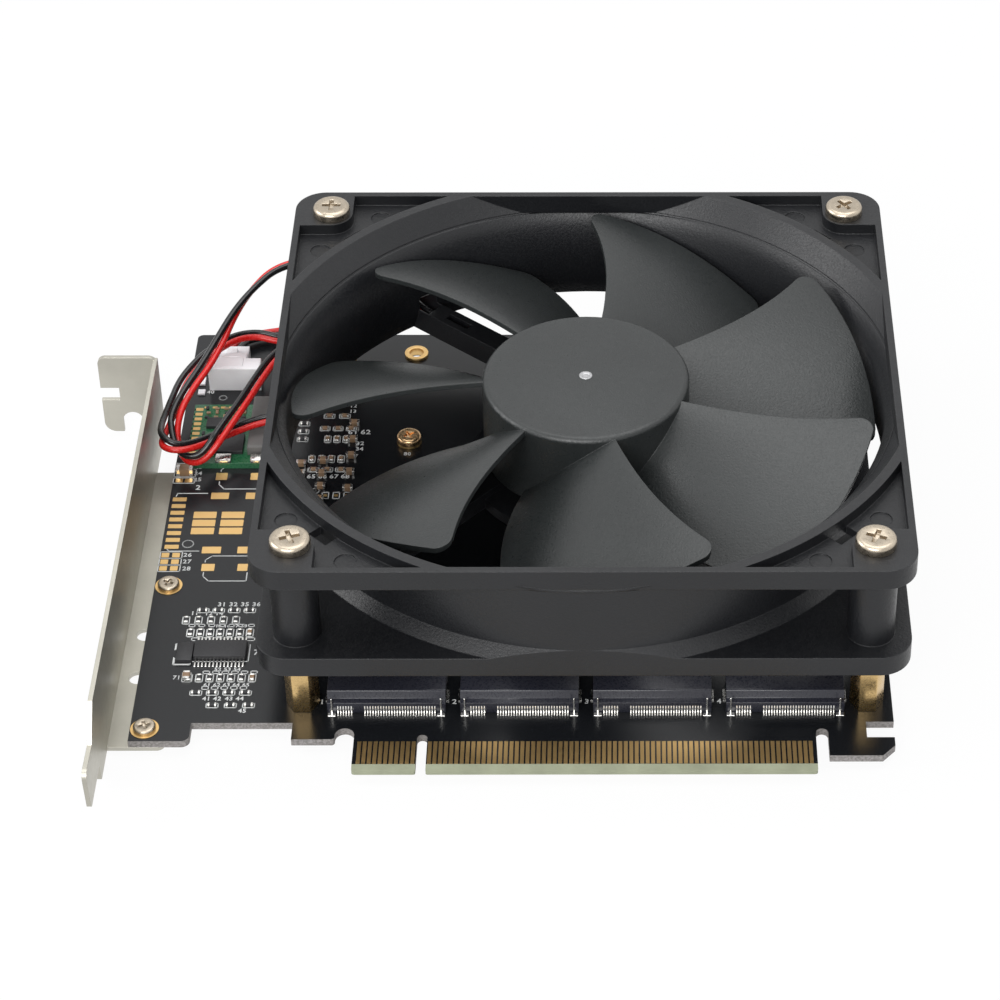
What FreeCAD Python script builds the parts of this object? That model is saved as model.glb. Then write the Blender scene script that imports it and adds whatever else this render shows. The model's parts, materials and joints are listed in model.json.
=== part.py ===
import FreeCAD, Part
import math
import os

# An expansion card that carries four solid state drives, cooled by one 120 mm fan.
# Frame: X runs along the edge connector, Y away from it, Z out of the component side.
# The origin is the middle of the connector's key notch, at the tip of the contacts'
# tongue and on the component side of the board.

Vec = FreeCAD.Vector
UP = Vec(0, 0, 1)

doc = FreeCAD.newDocument("DriveCard")
sheet = doc.addObject("Spreadsheet::Sheet", "Sizes")

SIZES = (
    # the board and its edge connector
    ("boardThickness", 1.57),
    ("boardLeft", -54.2),
    ("boardRight", 87.2),
    ("boardBack", 133.0),
    ("keyWidth", 1.9),
    ("keyDepth", 9.25),
    ("shortTongue", 11.65),
    ("longTongue", 71.65),
    ("tongueDepth", 8.15),
    ("tongueBevel", 1.6),
    ("bevelDrop", 0.45),
    ("contactPitch", 1.0),
    ("contactWidth", 0.7),
    ("contactLength", 5.8),
    ("contactThickness", 0.05),
    # the slot bracket, bent from one sheet
    ("sheetThickness", 0.86),
    ("plateOuter", -59.05),
    ("plateLow", -2.43),
    ("plateWidth", 18.42),
    ("flangeBack", 103.66),
    ("flangeReach", 11.43),
    ("flangeWidth", 19.05),
    ("footTip", -11.9),
    ("tabReach", 10.6),
    ("tabEnd", 88.0),
    ("bracketScrewX", -51.45),
    ("lowerScrewY", 11.0),
    ("upperScrewY", 51.1),
    # the fan, 120 mm across
    ("fanX", 29.88),
    ("fanY", 70.59),
    ("fanWidth", 120.0),
    ("fanHeight", 25.0),
    ("fanCorner", 6.0),
    ("flangeThickness", 4.2),
    ("boreRadius", 58.0),
    ("ductRadius", 60.0),
    ("inletRadius", 63.4),
    ("inletDepth", 7.0),
    ("screwPitch", 105.0),
    ("columnRadius", 4.4),
    ("motorBaseRadius", 23.0),
    ("motorBaseThickness", 2.2),
    ("strutThickness", 3.6),
    ("cableStrutThickness", 5.0),
    ("channelFloor", 0.8),
    ("channelRoof", 4.3),
    ("recessDepth", 2.4),
    ("tubeRadius", 4.4),
    ("tubeHeight", 17.6),
    ("sleeveRadius", 3.2),
    # the rotor
    ("hubRadius", 20.0),
    ("hubTop", 23.0),
    ("hubBottom", 5.8),
    ("hubWall", 1.3),
    ("bladeCount", 7),
    ("bladeTipRadius", 56.6),
    ("bladeThickness", 1.5),
    ("bladeTop", 22.0),
    ("bladeDrop", 14.5),
    ("bladeCorner", 2.6),
    ("shaftRadius", 1.0),
    # screws and standoffs, all M3
    ("standoffHeight", 13.5),
    ("standoffFlats", 5.5),
    ("screwRadius", 1.45),
    ("threadBore", 1.5),
    ("padRingThickness", 0.12),
    ("fanHeadRadius", 3.75),
    ("fanHeadHeight", 2.0),
    ("footHeadRadius", 2.75),
    ("footHeadHeight", 1.7),
    # the drive sockets and what holds a drive's far end
    ("socketPitch", 24.7),
    ("firstSocketX", -6.95),
    ("socketWidth", 22.0),
    ("socketFront", 15.2),
    ("socketDepth", 8.4),
    ("socketHeight", 4.2),
    ("driveDatum", 15.9),
    ("standoffRing", 2.5),
    ("driveSeat", 0.6),
    # the fan's connector
    ("headerLeft", -49.8),
    ("headerWidth", 10.9),
    ("headerFront", 113.4),
    ("headerDepth", 5.7),
    ("headerHeight", 5.7),
    ("plugWidth", 7.0),
    ("plugLength", 8.0),
    ("wireDiameter", 1.35),
    ("wireSpacing", 1.64),
    # the power module
    ("moduleLeft", -52.0),
    ("moduleFront", 87.4),
    ("moduleWidth", 16.2),
    ("moduleLength", 19.4),
    ("moduleThickness", 1.4),
)

for row, (alias, value) in enumerate(SIZES, start=1):
    sheet.set(f"A{row}", alias)
    sheet.set(f"B{row}", str(value))
    sheet.setAlias(f"B{row}", alias)
doc.recompute()

nodes = {}


def dim(alias):
    return float(sheet.get(alias))


def bind(item, formulas):
    """Bind each property of a document object to a formula of sheet cells."""
    for prop, formula in formulas.items():
        item.setExpression(prop, formula)


def place(item, x="0", y="0", z="0"):
    bind(item, {"Placement.Base.x": x, "Placement.Base.y": y, "Placement.Base.z": z})


def keep(item, node):
    """Mark a document object as a sub-part: its label names its file."""
    item.Label = node
    nodes[node] = item
    return item


def box(name, length, width, height, x, y, z):
    item = doc.addObject("Part::Box", name)
    bind(item, {"Length": length, "Width": width, "Height": height})
    place(item, x, y, z)
    return item


def cylinder(name, radius, height, x, y, z):
    item = doc.addObject("Part::Cylinder", name)
    bind(item, {"Radius": radius, "Height": height})
    place(item, x, y, z)
    return item


def fuse(name, shapes):
    item = doc.addObject("Part::MultiFuse", name)
    item.Shapes = shapes
    return item


def cut(name, base, tool):
    item = doc.addObject("Part::Cut", name)
    item.Base = base
    item.Tool = tool
    return item


def newBody(node):
    return keep(doc.addObject("PartDesign::Body", node), node)


def plane(body, role):
    return next(item for item in body.Origin.OriginFeatures if item.Role == role)


def newSketch(body, name, role, height="0", shapes=()):
    """A sketch on one of the body's own planes, raised along the plane's normal."""
    sketch = body.newObject("Sketcher::SketchObject", name)
    sketch.AttachmentSupport = [(plane(body, role), "")]
    sketch.MapMode = "FlatFace"
    sketch.setExpression("AttachmentOffset.Base.z", height)
    for shape in shapes:
        sketch.addGeometry(shape, False)
    return sketch


def polygon(points):
    corners = [Vec(x, y, 0) for x, y in points]
    return [Part.LineSegment(a, b) for a, b in zip(corners, corners[1:] + corners[:1])]


def circle(x, y, radius):
    return Part.Circle(Vec(x, y, 0), UP, radius)


def rounded(points):
    """A closed outline: each point is (x, y) or (x, y, corner radius)."""
    ends = []
    count = len(points)
    for index, point in enumerate(points):
        corner = Vec(point[0], point[1], 0)
        radius = point[2] if len(point) > 2 else 0
        if not radius:
            ends.append((corner, corner, None))
            continue
        before = Vec(points[index - 1][0], points[index - 1][1], 0) - corner
        after = Vec(points[(index + 1) % count][0], points[(index + 1) % count][1], 0) - corner
        before.normalize()
        after.normalize()
        half = before.getAngle(after) / 2
        reach = radius / math.tan(half)
        middle = (before + after).normalize()
        centre = corner + middle * (radius / math.sin(half))
        ends.append((corner + before * reach, corner + after * reach, centre - middle * radius))
    shapes = []
    for index, (start, end, via) in enumerate(ends):
        if via:
            shapes.append(Part.Arc(start, via, end))
        nextStart = ends[(index + 1) % count][0]
        if (nextStart - end).Length > 1e-6:
            shapes.append(Part.LineSegment(end, nextStart))
    return shapes


def pad(body, sketch, length, downward=False):
    feature = body.newObject("PartDesign::Pad", sketch.Name + "Pad")
    feature.Profile = sketch
    feature.setExpression("Length", length)
    feature.Reversed = downward
    sketch.Visibility = False
    return feature


def pocket(body, sketch, depth="0", upward=False):
    """A pocket to a depth, or through the whole body when no depth is given."""
    feature = body.newObject("PartDesign::Pocket", sketch.Name + "Pocket")
    feature.Profile = sketch
    if depth == "0":
        feature.Type = 1
        feature.Midplane = True
    else:
        feature.setExpression("Length", depth)
    feature.Reversed = upward
    return feature


def quarterTurns(body, feature, name):
    """Repeat a feature at each quarter turn about the body's Z axis."""
    pattern = body.newObject("PartDesign::PolarPattern", name)
    pattern.Originals = [feature]
    pattern.Axis = (plane(body, "Z_Axis"), [""])
    pattern.Angle = 360
    pattern.Occurrences = 4
    body.Tip = pattern
    return pattern


def feature(node, shape):
    item = doc.addObject("Part::Feature", node)
    item.Shape = shape
    return keep(item, node)


def socketCentres():
    return [dim("firstSocketX") + index * dim("socketPitch") for index in range(4)]


def cornerOffsets():
    half = dim("screwPitch") / 2
    return [(x, y) for x in (-half, half) for y in (-half, half)]


def fanCorners():
    return [(dim("fanX") + x, dim("fanY") + y) for x, y in cornerOffsets()]


# The board

DRIVE_LENGTHS = (30, 42, 60, 80, 110)
HELD_LENGTHS = (80, 110)


def boardOutline():
    key = dim("keyWidth") / 2
    left = -key - dim("shortTongue")
    right = key + dim("longTongue")
    step = dim("tongueDepth")
    relief = 1.8
    slot = 1.15
    hookFoot = 3.7
    points = [
        (dim("boardLeft"), 7.7), (-43.0, 7.7, 1.5), (-43.0, 12.5), (-24.2, 12.5),
        (-24.2, step), (left - 2 * relief, step, 0.6), (left - 2 * relief, 11.0, 1.79),
        (left, 11.0, 1.79), (left, 0, 0.6), (-key, 0, 0.4), (-key, dim("keyDepth"), 0.94),
        (key, dim("keyDepth"), 0.94), (key, 0, 0.4), (right, 0, 0.6), (right, 10.8, 1.14),
        (right + 2 * slot, 10.8, 1.14), (right + 2 * slot, hookFoot), (84.7, hookFoot),
        (87.1, 6.4), (87.1, 8.5), (82.0, 8.5), (82.0, 12.6), (dim("boardRight"), 12.6),
        (dim("boardRight"), dim("boardBack"), 1.2), (dim("boardLeft"), dim("boardBack"), 1.2),
    ]
    return rounded(points)


def boardHoles():
    holes = [circle(x, y, 1.6) for x, y in fanCorners()]
    holes += [circle(dim("bracketScrewX"), dim(alias), 1.6) for alias in ("lowerScrewY", "upperScrewY")]
    for x in socketCentres():
        holes += [circle(x, dim("driveDatum") + length, 1.75) for length in DRIVE_LENGTHS]
    return holes


def makeBoard():
    body = newBody("circuit_board")
    outline = newSketch(body, "BoardOutline", "XY_Plane", shapes=boardOutline())
    pad(body, outline, "Sizes.boardThickness", downward=True)
    holes = newSketch(body, "BoardHoles", "XY_Plane", shapes=boardHoles())
    pocket(body, holes)
    reach = dim("tongueBevel")
    drop = dim("bevelDrop")
    floor = -dim("boardThickness")
    bevel = polygon([(-0.1, 0.1), (reach, 0), (-0.1, -drop)])
    bevel += polygon([(-0.1, floor - 0.1), (reach, floor), (-0.1, floor + drop)])
    pocket(body, newSketch(body, "TongueBevel", "YZ_Plane", shapes=bevel))


def makeContacts():
    """Eleven contacts on the short tongue and seventy-one on the long one, both sides."""
    pitch = dim("contactPitch")
    width = dim("contactWidth")
    thickness = dim("contactThickness")
    places = [-(index + 1.5) * pitch for index in range(11)]
    places += [(index + 1.5) * pitch for index in range(71)]
    strips = []
    for x in places:
        for z in (0, -dim("boardThickness") - thickness):
            corner = Vec(x - width / 2, dim("tongueBevel") + 0.1, z)
            strips.append(Part.makeBox(width, dim("contactLength"), thickness, corner))
    feature("edge_contacts", Part.makeCompound(strips))


# The slot bracket

def makeBracket():
    body = newBody("slot_bracket")
    back = dim("flangeBack")
    low = dim("plateLow")
    high = low + dim("plateWidth")
    tip = dim("footTip")
    footLow = low + 3.8
    plateOutline = rounded([
        (back, low), (0, low, 0.5), (0, footLow), (tip + 1.0, footLow, 0.8), (tip, high - 5.4, 1.5),
        (tip + 8.0, high - 5.8), (tip + 13.4, high), (back, high),
    ])
    face = newSketch(body, "Faceplate", "YZ_Plane", "Sizes.plateOuter", plateOutline)
    pad(body, face, "Sizes.sheetThickness")

    inner = dim("plateOuter") + dim("sheetThickness")
    far = dim("plateOuter") - dim("flangeReach")
    top = low + dim("flangeWidth")
    notch = 2.1
    notchX = far + 6.0
    flangeOutline = rounded([
        (inner, low), (inner, top, 2.0), (far, top, 1.6), (far, 8.9), (far + 3.8, 8.9),
        (far + 3.8, 5.8), (far, 5.8), (far, low, 2.4), (notchX - notch, low),
        (notchX - notch, 2.6, 2.09), (notchX + notch, 2.6, 2.09), (notchX + notch, low),
    ])
    flange = newSketch(body, "Flange", "XZ_Plane", "-Sizes.flangeBack", flangeOutline)
    pad(body, flange, "Sizes.sheetThickness")

    tabOutline = rounded([
        (inner - 0.4, 7.7), (inner + dim("tabReach"), 7.7, 1.5),
        (inner + dim("tabReach"), dim("tabEnd"), 4.0), (inner - 0.4, dim("tabEnd")),
    ])
    tab = newSketch(body, "BoardTab", "XY_Plane", "-Sizes.boardThickness", tabOutline)
    pad(body, tab, "Sizes.sheetThickness", downward=True)
    holes = [circle(dim("bracketScrewX"), dim(alias), 1.5) for alias in ("lowerScrewY", "upperScrewY")]
    holes += [circle(-54.7, y, 1.7) for y in (26.5, 38.6)]
    pocket(body, newSketch(body, "TabHoles", "XY_Plane", shapes=holes), "Sizes.boardThickness * 3")


def panScrew(headRadius, headHeight, shankRadius, shankLength):
    """A pan head screw on the Z axis, seated at z = 0 with its shank downward."""
    head = Part.makeCylinder(headRadius, headHeight)
    rim = [edge for edge in head.Edges if edge.BoundBox.ZMin > headHeight - 1e-6]
    head = head.makeFillet(headHeight * 0.45, rim)
    arm = Part.makeBox(headRadius, headRadius * 0.24, headHeight * 0.6,
                       Vec(-headRadius / 2, -headRadius * 0.12, headHeight * 0.5))
    turned = arm.copy()
    turned.rotate(Vec(0, 0, 0), UP, 90)
    shank = Part.makeCylinder(shankRadius, shankLength, Vec(0, 0, -shankLength))
    return head.cut(arm.fuse(turned)).fuse(shank).removeSplitter()


def copies(shape, places, turns=None):
    placed = []
    for index, (x, y, z) in enumerate(places):
        item = shape.copy()
        if turns:
            item.rotate(Vec(0, 0, 0), UP, turns[index])
        item.translate(Vec(x, y, z))
        placed.append(item)
    return Part.makeCompound(placed)


def makeBracketScrews():
    places = [(dim("bracketScrewX"), dim(alias), 0) for alias in ("lowerScrewY", "upperScrewY")]
    seat = dim("padRingThickness")
    feature("bracket_washers", copies(ringSolid(2.65, 1.6, 0, seat), places))
    screw = panScrew(2.1, 0.9, dim("screwRadius"), 2.9)
    feature("bracket_screws", copies(screw, [(x, y, seat) for x, y, z in places], (20, 65)))


# Standoffs and the screws of the fan

def makeStandoffs():
    flats = dim("standoffFlats")
    corner = flats / math.sqrt(3)
    angles = [math.radians(60 * index) for index in range(6)]
    outline = [Vec(corner * math.cos(angle), corner * math.sin(angle), 0) for angle in angles]
    face = Part.Face(Part.makePolygon(outline + outline[:1]))
    height = dim("standoffHeight")
    standoff = face.extrude(Vec(0, 0, height)).cut(Part.makeCylinder(dim("threadBore"), height))
    for index, (x, y) in enumerate(fanCorners()):
        item = feature(f"standoff_{index + 1}", standoff.copy())
        item.Placement = FreeCAD.Placement(Vec(x, y, 0), FreeCAD.Rotation(UP, 0))


def makeFanScrews():
    top = dim("standoffHeight") + dim("fanHeight")
    screw = panScrew(dim("fanHeadRadius"), dim("fanHeadHeight"), dim("screwRadius"), 31.0)
    feature("fan_screws", copies(screw, [(x, y, top) for x, y in fanCorners()], (18, 0, 70, 35)))
    screw = panScrew(dim("footHeadRadius"), dim("footHeadHeight"), dim("screwRadius"), 6.5)
    screw.rotate(Vec(0, 0, 0), Vec(1, 0, 0), 180)
    floor = -dim("boardThickness")
    feature("foot_screws", copies(screw, [(x, y, floor) for x, y in fanCorners()], (40, 5, 75, 20)))


# The fan's moulded frame

def seatOnStandoffs(item):
    place(item, "Sizes.fanX", "Sizes.fanY", "Sizes.standoffHeight")


def square(half, corner):
    signs = ((-1, -1), (1, -1), (1, 1), (-1, 1))
    return rounded([(half * x, half * y, corner) for x, y in signs])


def revolve(body, sketch, kind):
    item = body.newObject("PartDesign::" + kind, sketch.Name + kind)
    item.Profile = sketch
    item.ReferenceAxis = (plane(body, "Z_Axis"), [""])
    item.Angle = 360
    return item


def cornerRecess():
    """The pocket between the rim, the bore's raised ring and the pad under one screw."""
    rim = dim("fanWidth") / 2 - 1.3
    ring = dim("inletRadius") + 1.9
    side = math.sqrt(ring ** 2 - rim ** 2)
    screw = dim("screwPitch") / 2
    padRadius = 4.3
    padEdge = screw - padRadius
    padCorner = screw - padRadius / math.sqrt(2)
    middle = ring / math.sqrt(2)
    return [
        Part.LineSegment(Vec(side, rim, 0), Vec(padEdge, rim, 0)),
        Part.LineSegment(Vec(padEdge, rim, 0), Vec(padEdge, screw, 0)),
        Part.Arc(Vec(padEdge, screw, 0), Vec(padCorner, padCorner, 0), Vec(screw, padEdge, 0)),
        Part.LineSegment(Vec(screw, padEdge, 0), Vec(rim, padEdge, 0)),
        Part.LineSegment(Vec(rim, padEdge, 0), Vec(rim, side, 0)),
        Part.Arc(Vec(rim, side, 0), Vec(middle, middle, 0), Vec(side, rim, 0)),
    ]


def latchHole():
    """A slot through the flange between the bore's ring and a screw pad, square to the diagonal."""
    middle = dim("inletRadius") + 3.3
    outline = []
    for along, across in ((-2.3, -1.4), (2.3, -1.4), (2.3, 1.4), (-2.3, 1.4)):
        reach = middle + across
        outline.append(((reach + along) / math.sqrt(2), (reach - along) / math.sqrt(2)))
    return polygon(outline)


def strutOutline(start, end, width):
    """One strut in plan, from the motor base out into the duct wall."""
    start = Vec(*start, 0)
    end = Vec(*end, 0)
    side = UP.cross(end - start).normalize() * (width / 2)
    corners = (start - side, end - side, end + side, start + side)
    return polygon([(corner.x, corner.y) for corner in corners])


def polar(radius, degrees):
    angle = math.radians(degrees)
    return radius * math.cos(angle), radius * math.sin(angle)


def alongCable(reach):
    """A point of the line that the cable follows out of the motor, inside the widest strut."""
    x, y = polar(reach, 140.1)
    return 9.7 + x, 11.6 + y


def makeFanFrame():
    body = newBody("fan_frame")
    half = dim("fanWidth") / 2
    height = dim("fanHeight")
    flange = dim("flangeThickness")
    duct = dim("ductRadius")
    bore = dim("boreRadius")
    inlet = dim("inletRadius")

    ring = polygon([(bore - 3, 0), (bore + 6, 0), (bore + 6, flange), (duct + 2.4, flange),
                    (duct, flange + 2), (duct, height - flange), (duct + 4, height), (bore - 3, height)])
    revolve(body, newSketch(body, "DuctWall", "XZ_Plane", shapes=ring), "Revolution")
    outer = square(half, dim("fanCorner"))
    pad(body, newSketch(body, "OutletFlange", "XY_Plane", "0", outer), "Sizes.flangeThickness")
    top = newSketch(body, "InletFlange", "XY_Plane", "Sizes.fanHeight", outer)
    pad(body, top, "Sizes.flangeThickness", downward=True)
    columns = [circle(x, y, dim("columnRadius")) for x, y in cornerOffsets()]
    pad(body, newSketch(body, "Columns", "XY_Plane", "0", columns), "Sizes.fanHeight")
    trim = square(half + 12, 1.0) + outer
    pocket(body, newSketch(body, "SideTrim", "XY_Plane", "Sizes.fanHeight", trim), "Sizes.fanHeight")

    throat = height - dim("inletDepth")
    air = polygon([(0, -1), (bore + 1.6, -1), (bore + 1.6, 0), (bore, 4.0), (bore, throat),
                   (inlet, height), (inlet, height + 1), (0, height + 1)])
    revolve(body, newSketch(body, "AirPath", "XZ_Plane", shapes=air), "Groove")
    rim = newSketch(body, "Rim", "XY_Plane", "Sizes.fanHeight", outer + square(half - 1.4, 4.8))
    pad(body, rim, "Sizes.flangeThickness", downward=True)

    recess = newSketch(body, "CornerRecess", "XY_Plane", "Sizes.fanHeight", cornerRecess())
    quarterTurns(body, pocket(body, recess, "Sizes.recessDepth"), "CornerRecesses")
    marks = [circle(54.2, 42.6, 2.05), circle(42.6, 54.2, 2.05)]
    mark = newSketch(body, "EjectorMark", "XY_Plane", "Sizes.fanHeight - Sizes.recessDepth", marks)
    quarterTurns(body, pocket(body, mark, "0.3"), "EjectorMarks")
    slot = newSketch(body, "LatchHole", "XY_Plane", "Sizes.fanHeight", latchHole())
    quarterTurns(body, pocket(body, slot, "Sizes.flangeThickness + 1"), "LatchHoles")
    holes = [circle(x, y, 2.15) for x, y in cornerOffsets()]
    pocket(body, newSketch(body, "ScrewHoles", "XY_Plane", shapes=holes))

    base = newSketch(body, "MotorBase", "XY_Plane", "0", [circle(0, 0, dim("motorBaseRadius"))])
    pad(body, base, "Sizes.motorBaseThickness")
    for index, turn in enumerate((39, -51, -141)):
        outline = strutOutline(polar(19, turn - 19), polar(dim("boreRadius") + 1.2, turn), 5.2)
        pad(body, newSketch(body, f"Strut{index + 1}", "XY_Plane", "0", outline), "Sizes.strutThickness")
    wide = newSketch(body, "CableStrut", "XY_Plane", "0",
                     strutOutline(alongCable(10), alongCable(58.6), 4.6))
    pad(body, wide, "Sizes.cableStrutThickness")
    tunnel = newSketch(body, "CableTunnel", "XY_Plane", "Sizes.channelFloor",
                       strutOutline(alongCable(4), alongCable(60), 2.2))
    pocket(body, tunnel, "Sizes.channelRoof - Sizes.channelFloor", upward=True)
    window = newSketch(body, "CableWindow", "XY_Plane", "Sizes.channelRoof - 0.2",
                       strutOutline(alongCable(44.4), alongCable(50.4), 1.6))
    pocket(body, window, "1.2", upward=True)
    gate = newSketch(body, "CableGate", "XY_Plane", "Sizes.channelFloor",
                     strutOutline(alongCable(54), alongCable(68), 4.0))
    pocket(body, gate, "7.2", upward=True)
    tube = newSketch(body, "BearingTube", "XY_Plane", "0", [circle(0, 0, dim("tubeRadius"))])
    pad(body, tube, "Sizes.tubeHeight")
    well = newSketch(body, "BearingWell", "XY_Plane", "Sizes.tubeHeight",
                     [circle(0, 0, dim("sleeveRadius"))])
    pocket(body, well, "Sizes.tubeHeight - 1.2")
    seatOnStandoffs(body)


# The motor and the rotor, in the fan's own frame

def ringSolid(outer, inner, low, high):
    reach = Vec(0, 0, low)
    return Part.makeCylinder(outer, high - low, reach).cut(Part.makeCylinder(inner, high - low, reach))


def makeRing(node, outer, inner, low, height):
    """A plain ring on the fan's axis; every size is a formula of sheet cells."""
    shell = doc.addObject("Part::Cylinder", node + "_outside")
    bind(shell, {"Radius": outer, "Height": height, "Placement.Base.z": low})
    hole = doc.addObject("Part::Cylinder", node + "_hole")
    bind(hole, {"Radius": inner, "Height": height, "Placement.Base.z": low})
    ring = keep(cut(node, shell, hole), node)
    seatOnStandoffs(ring)
    return ring


def bladeMean(radius, along):
    """The middle surface of one blade: along is 0 at the leading edge and 1 at the trailing edge."""
    reach = (radius - dim("hubRadius")) / (dim("bladeTipRadius") - dim("hubRadius"))
    lead = 30 + 3.2 * reach + 6.0 * reach ** 2
    trail = -22 + 22 * reach
    x, y = polar(radius, lead + (trail - lead) * along)
    return Vec(x, y, dim("bladeTop") - dim("bladeDrop") * along ** 1.2)


def bladePoint(radius, along, offset):
    """A point of the blade's upper face (offset 1) or lower face (offset -1)."""
    step = 0.002
    chordwise = bladeMean(radius, along + step) - bladeMean(radius, max(along - step, 0))
    spanwise = bladeMean(radius + step, along) - bladeMean(radius - step, along)
    normal = spanwise.cross(chordwise).normalize()
    thickness = dim("bladeThickness") * (0.5 + 0.5 * math.sin(math.pi * min(along + 0.12, 1)))
    return bladeMean(radius, along) + normal * (offset * thickness / 2)


def bladeCornerTool(edge, radius):
    """A prism that rounds a blade's outer corner, at the leading edge (0) or the trailing one (1)."""
    def flat(point):
        return Vec(point.x, point.y, 0)

    tip = dim("bladeTipRadius")
    corner = flat(bladeMean(tip, edge))
    alongTip = (flat(bladeMean(tip, abs(edge - 0.02))) - corner).normalize()
    alongEdge = (flat(bladeMean(tip - 1, edge)) - corner).normalize()
    half = alongTip.getAngle(alongEdge) / 2
    middle = (alongTip + alongEdge).normalize()
    centre = corner + middle * (radius / math.sin(half))
    tipEnd = corner + alongTip * (radius / math.tan(half))
    edgeEnd = corner + alongEdge * (radius / math.tan(half))
    outside = [edgeEnd, edgeEnd - alongTip * 2, corner - middle * 4, tipEnd - alongEdge * 2, tipEnd]
    edges = [Part.LineSegment(a, b).toShape() for a, b in zip(outside, outside[1:])]
    edges.append(Part.Arc(tipEnd, centre - middle * radius, edgeEnd).toShape())
    return Part.Face(Part.Wire(edges)).extrude(Vec(0, 0, dim("fanHeight")))


def bladeSolid():
    """Two smooth faces through a net of points, closed by ruled strips at the four edges."""
    radii = [18.9, 22, 27, 33, 39, 45, 51, dim("bladeTipRadius")]
    stations = [index / 8 for index in range(9)]
    faces = []
    borders = []
    for offset in (1, -1):
        surface = Part.BSplineSurface()
        surface.interpolate([[bladePoint(r, s, offset) for s in stations] for r in radii])
        u0, u1, v0, v1 = surface.bounds()
        faces.append(surface.toShape())
        borders.append([surface.uIso(u0), surface.uIso(u1), surface.vIso(v0), surface.vIso(v1)])
    for upper, lower in zip(*borders):
        faces.append(Part.makeRuledSurface(upper.toShape(), lower.toShape()))
    shell = Part.makeShell(faces)
    shell.sewShape()
    solid = Part.Solid(shell)
    if solid.Volume < 0:
        solid.reverse()
    corners = bladeCornerTool(0, dim("bladeCorner")).fuse(bladeCornerTool(1, dim("bladeCorner")))
    return solid.cut(corners)


def makeImpeller():
    hub = doc.addObject("PartDesign::Body", "Hub")
    outer = dim("hubRadius")
    inner = outer - dim("hubWall")
    top = dim("hubTop")
    under = top - dim("hubWall")
    boss = 3.2
    profile = rounded([(0, under - 2.2), (boss, under - 2.2), (boss, under), (inner, under),
                       (inner, dim("hubBottom")), (outer, dim("hubBottom")), (outer, top, 1.2), (0, top)])
    revolve(hub, newSketch(hub, "HubProfile", "XZ_Plane", shapes=profile), "Revolution")
    bore = newSketch(hub, "ShaftBore", "XY_Plane", "Sizes.hubTop - Sizes.hubWall - 2.2",
                     [circle(0, 0, dim("shaftRadius"))])
    pocket(hub, bore, "2.4", upward=True)
    blades = []
    single = bladeSolid()
    for index in range(int(dim("bladeCount"))):
        blade = doc.addObject("Part::Feature", f"Blade{index + 1}")
        blade.Shape = single.copy()
        blade.Placement.Rotation = FreeCAD.Rotation(UP, 360 * index / dim("bladeCount"))
        blades.append(blade)
    impeller = keep(fuse("Impeller", [hub] + blades), "impeller")
    impeller.Refine = False
    seatOnStandoffs(impeller)


def makeMotor():
    wallInside = "Sizes.hubRadius - Sizes.hubWall"
    yokeBase = "Sizes.hubTop - Sizes.hubWall"
    makeRing("rotor_yoke", wallInside, f"{wallInside} - 0.8", "6.6", f"{yokeBase} - 6.6")
    makeRing("rotor_magnet", f"{wallInside} - 0.8", f"{wallInside} - 2.2", "7.4", "11.6")
    shaft = cylinder("MotorShaft", "Sizes.shaftRadius", "Sizes.hubTop - Sizes.hubWall - 2.6",
                     "Sizes.fanX", "Sizes.fanY", "Sizes.standoffHeight + 2.8")
    keep(shaft, "motor_shaft")
    makeRing("shaft_clip", "2.2", "Sizes.shaftRadius", "3.1", "0.5")
    makeRing("bearing_sleeve", "Sizes.sleeveRadius", "Sizes.shaftRadius + 0.05", "4.2", "13.2")
    makeRing("driver_board", "17.2", "Sizes.tubeRadius", "5.5", "0.9")

    core = ringSolid(7.2, dim("tubeRadius") + 0.02, 9.6, 15.6)
    poles = []
    coils = []
    for turn in (10, 100, 190, 280):
        shoe = ringSolid(16.0, 14.2, 9.6, 15.6)
        wedge = Part.makeCylinder(17, 6, Vec(0, 0, 9.6), UP, 72)
        wedge.rotate(Vec(0, 0, 0), UP, -36)
        neck = Part.makeBox(9.0, 3.6, 6.0, Vec(6.4, -1.8, 9.6))
        pole = shoe.common(wedge).fuse(neck)
        winding = Part.makeBox(5.6, 8.4, 9.6, Vec(8.0, -4.2, 7.8)).cut(neck)
        upright = [edge for edge in winding.Edges if edge.Length > 5 and abs(edge.Vertexes[0].Y) > 4]
        winding = winding.makeFillet(1.0, [edge for edge in upright if abs(edge.Vertexes[-1].Y) > 4])
        for solid, group in ((pole, poles), (winding, coils)):
            solid.rotate(Vec(0, 0, 0), UP, turn)
            group.append(solid)
    for node, shape in (("stator_core", core.multiFuse(poles).removeSplitter()),
                        ("stator_coils", Part.makeCompound(coils))):
        seatOnStandoffs(feature(node, shape))


# Drive sockets, and what holds the drives' far ends

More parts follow.
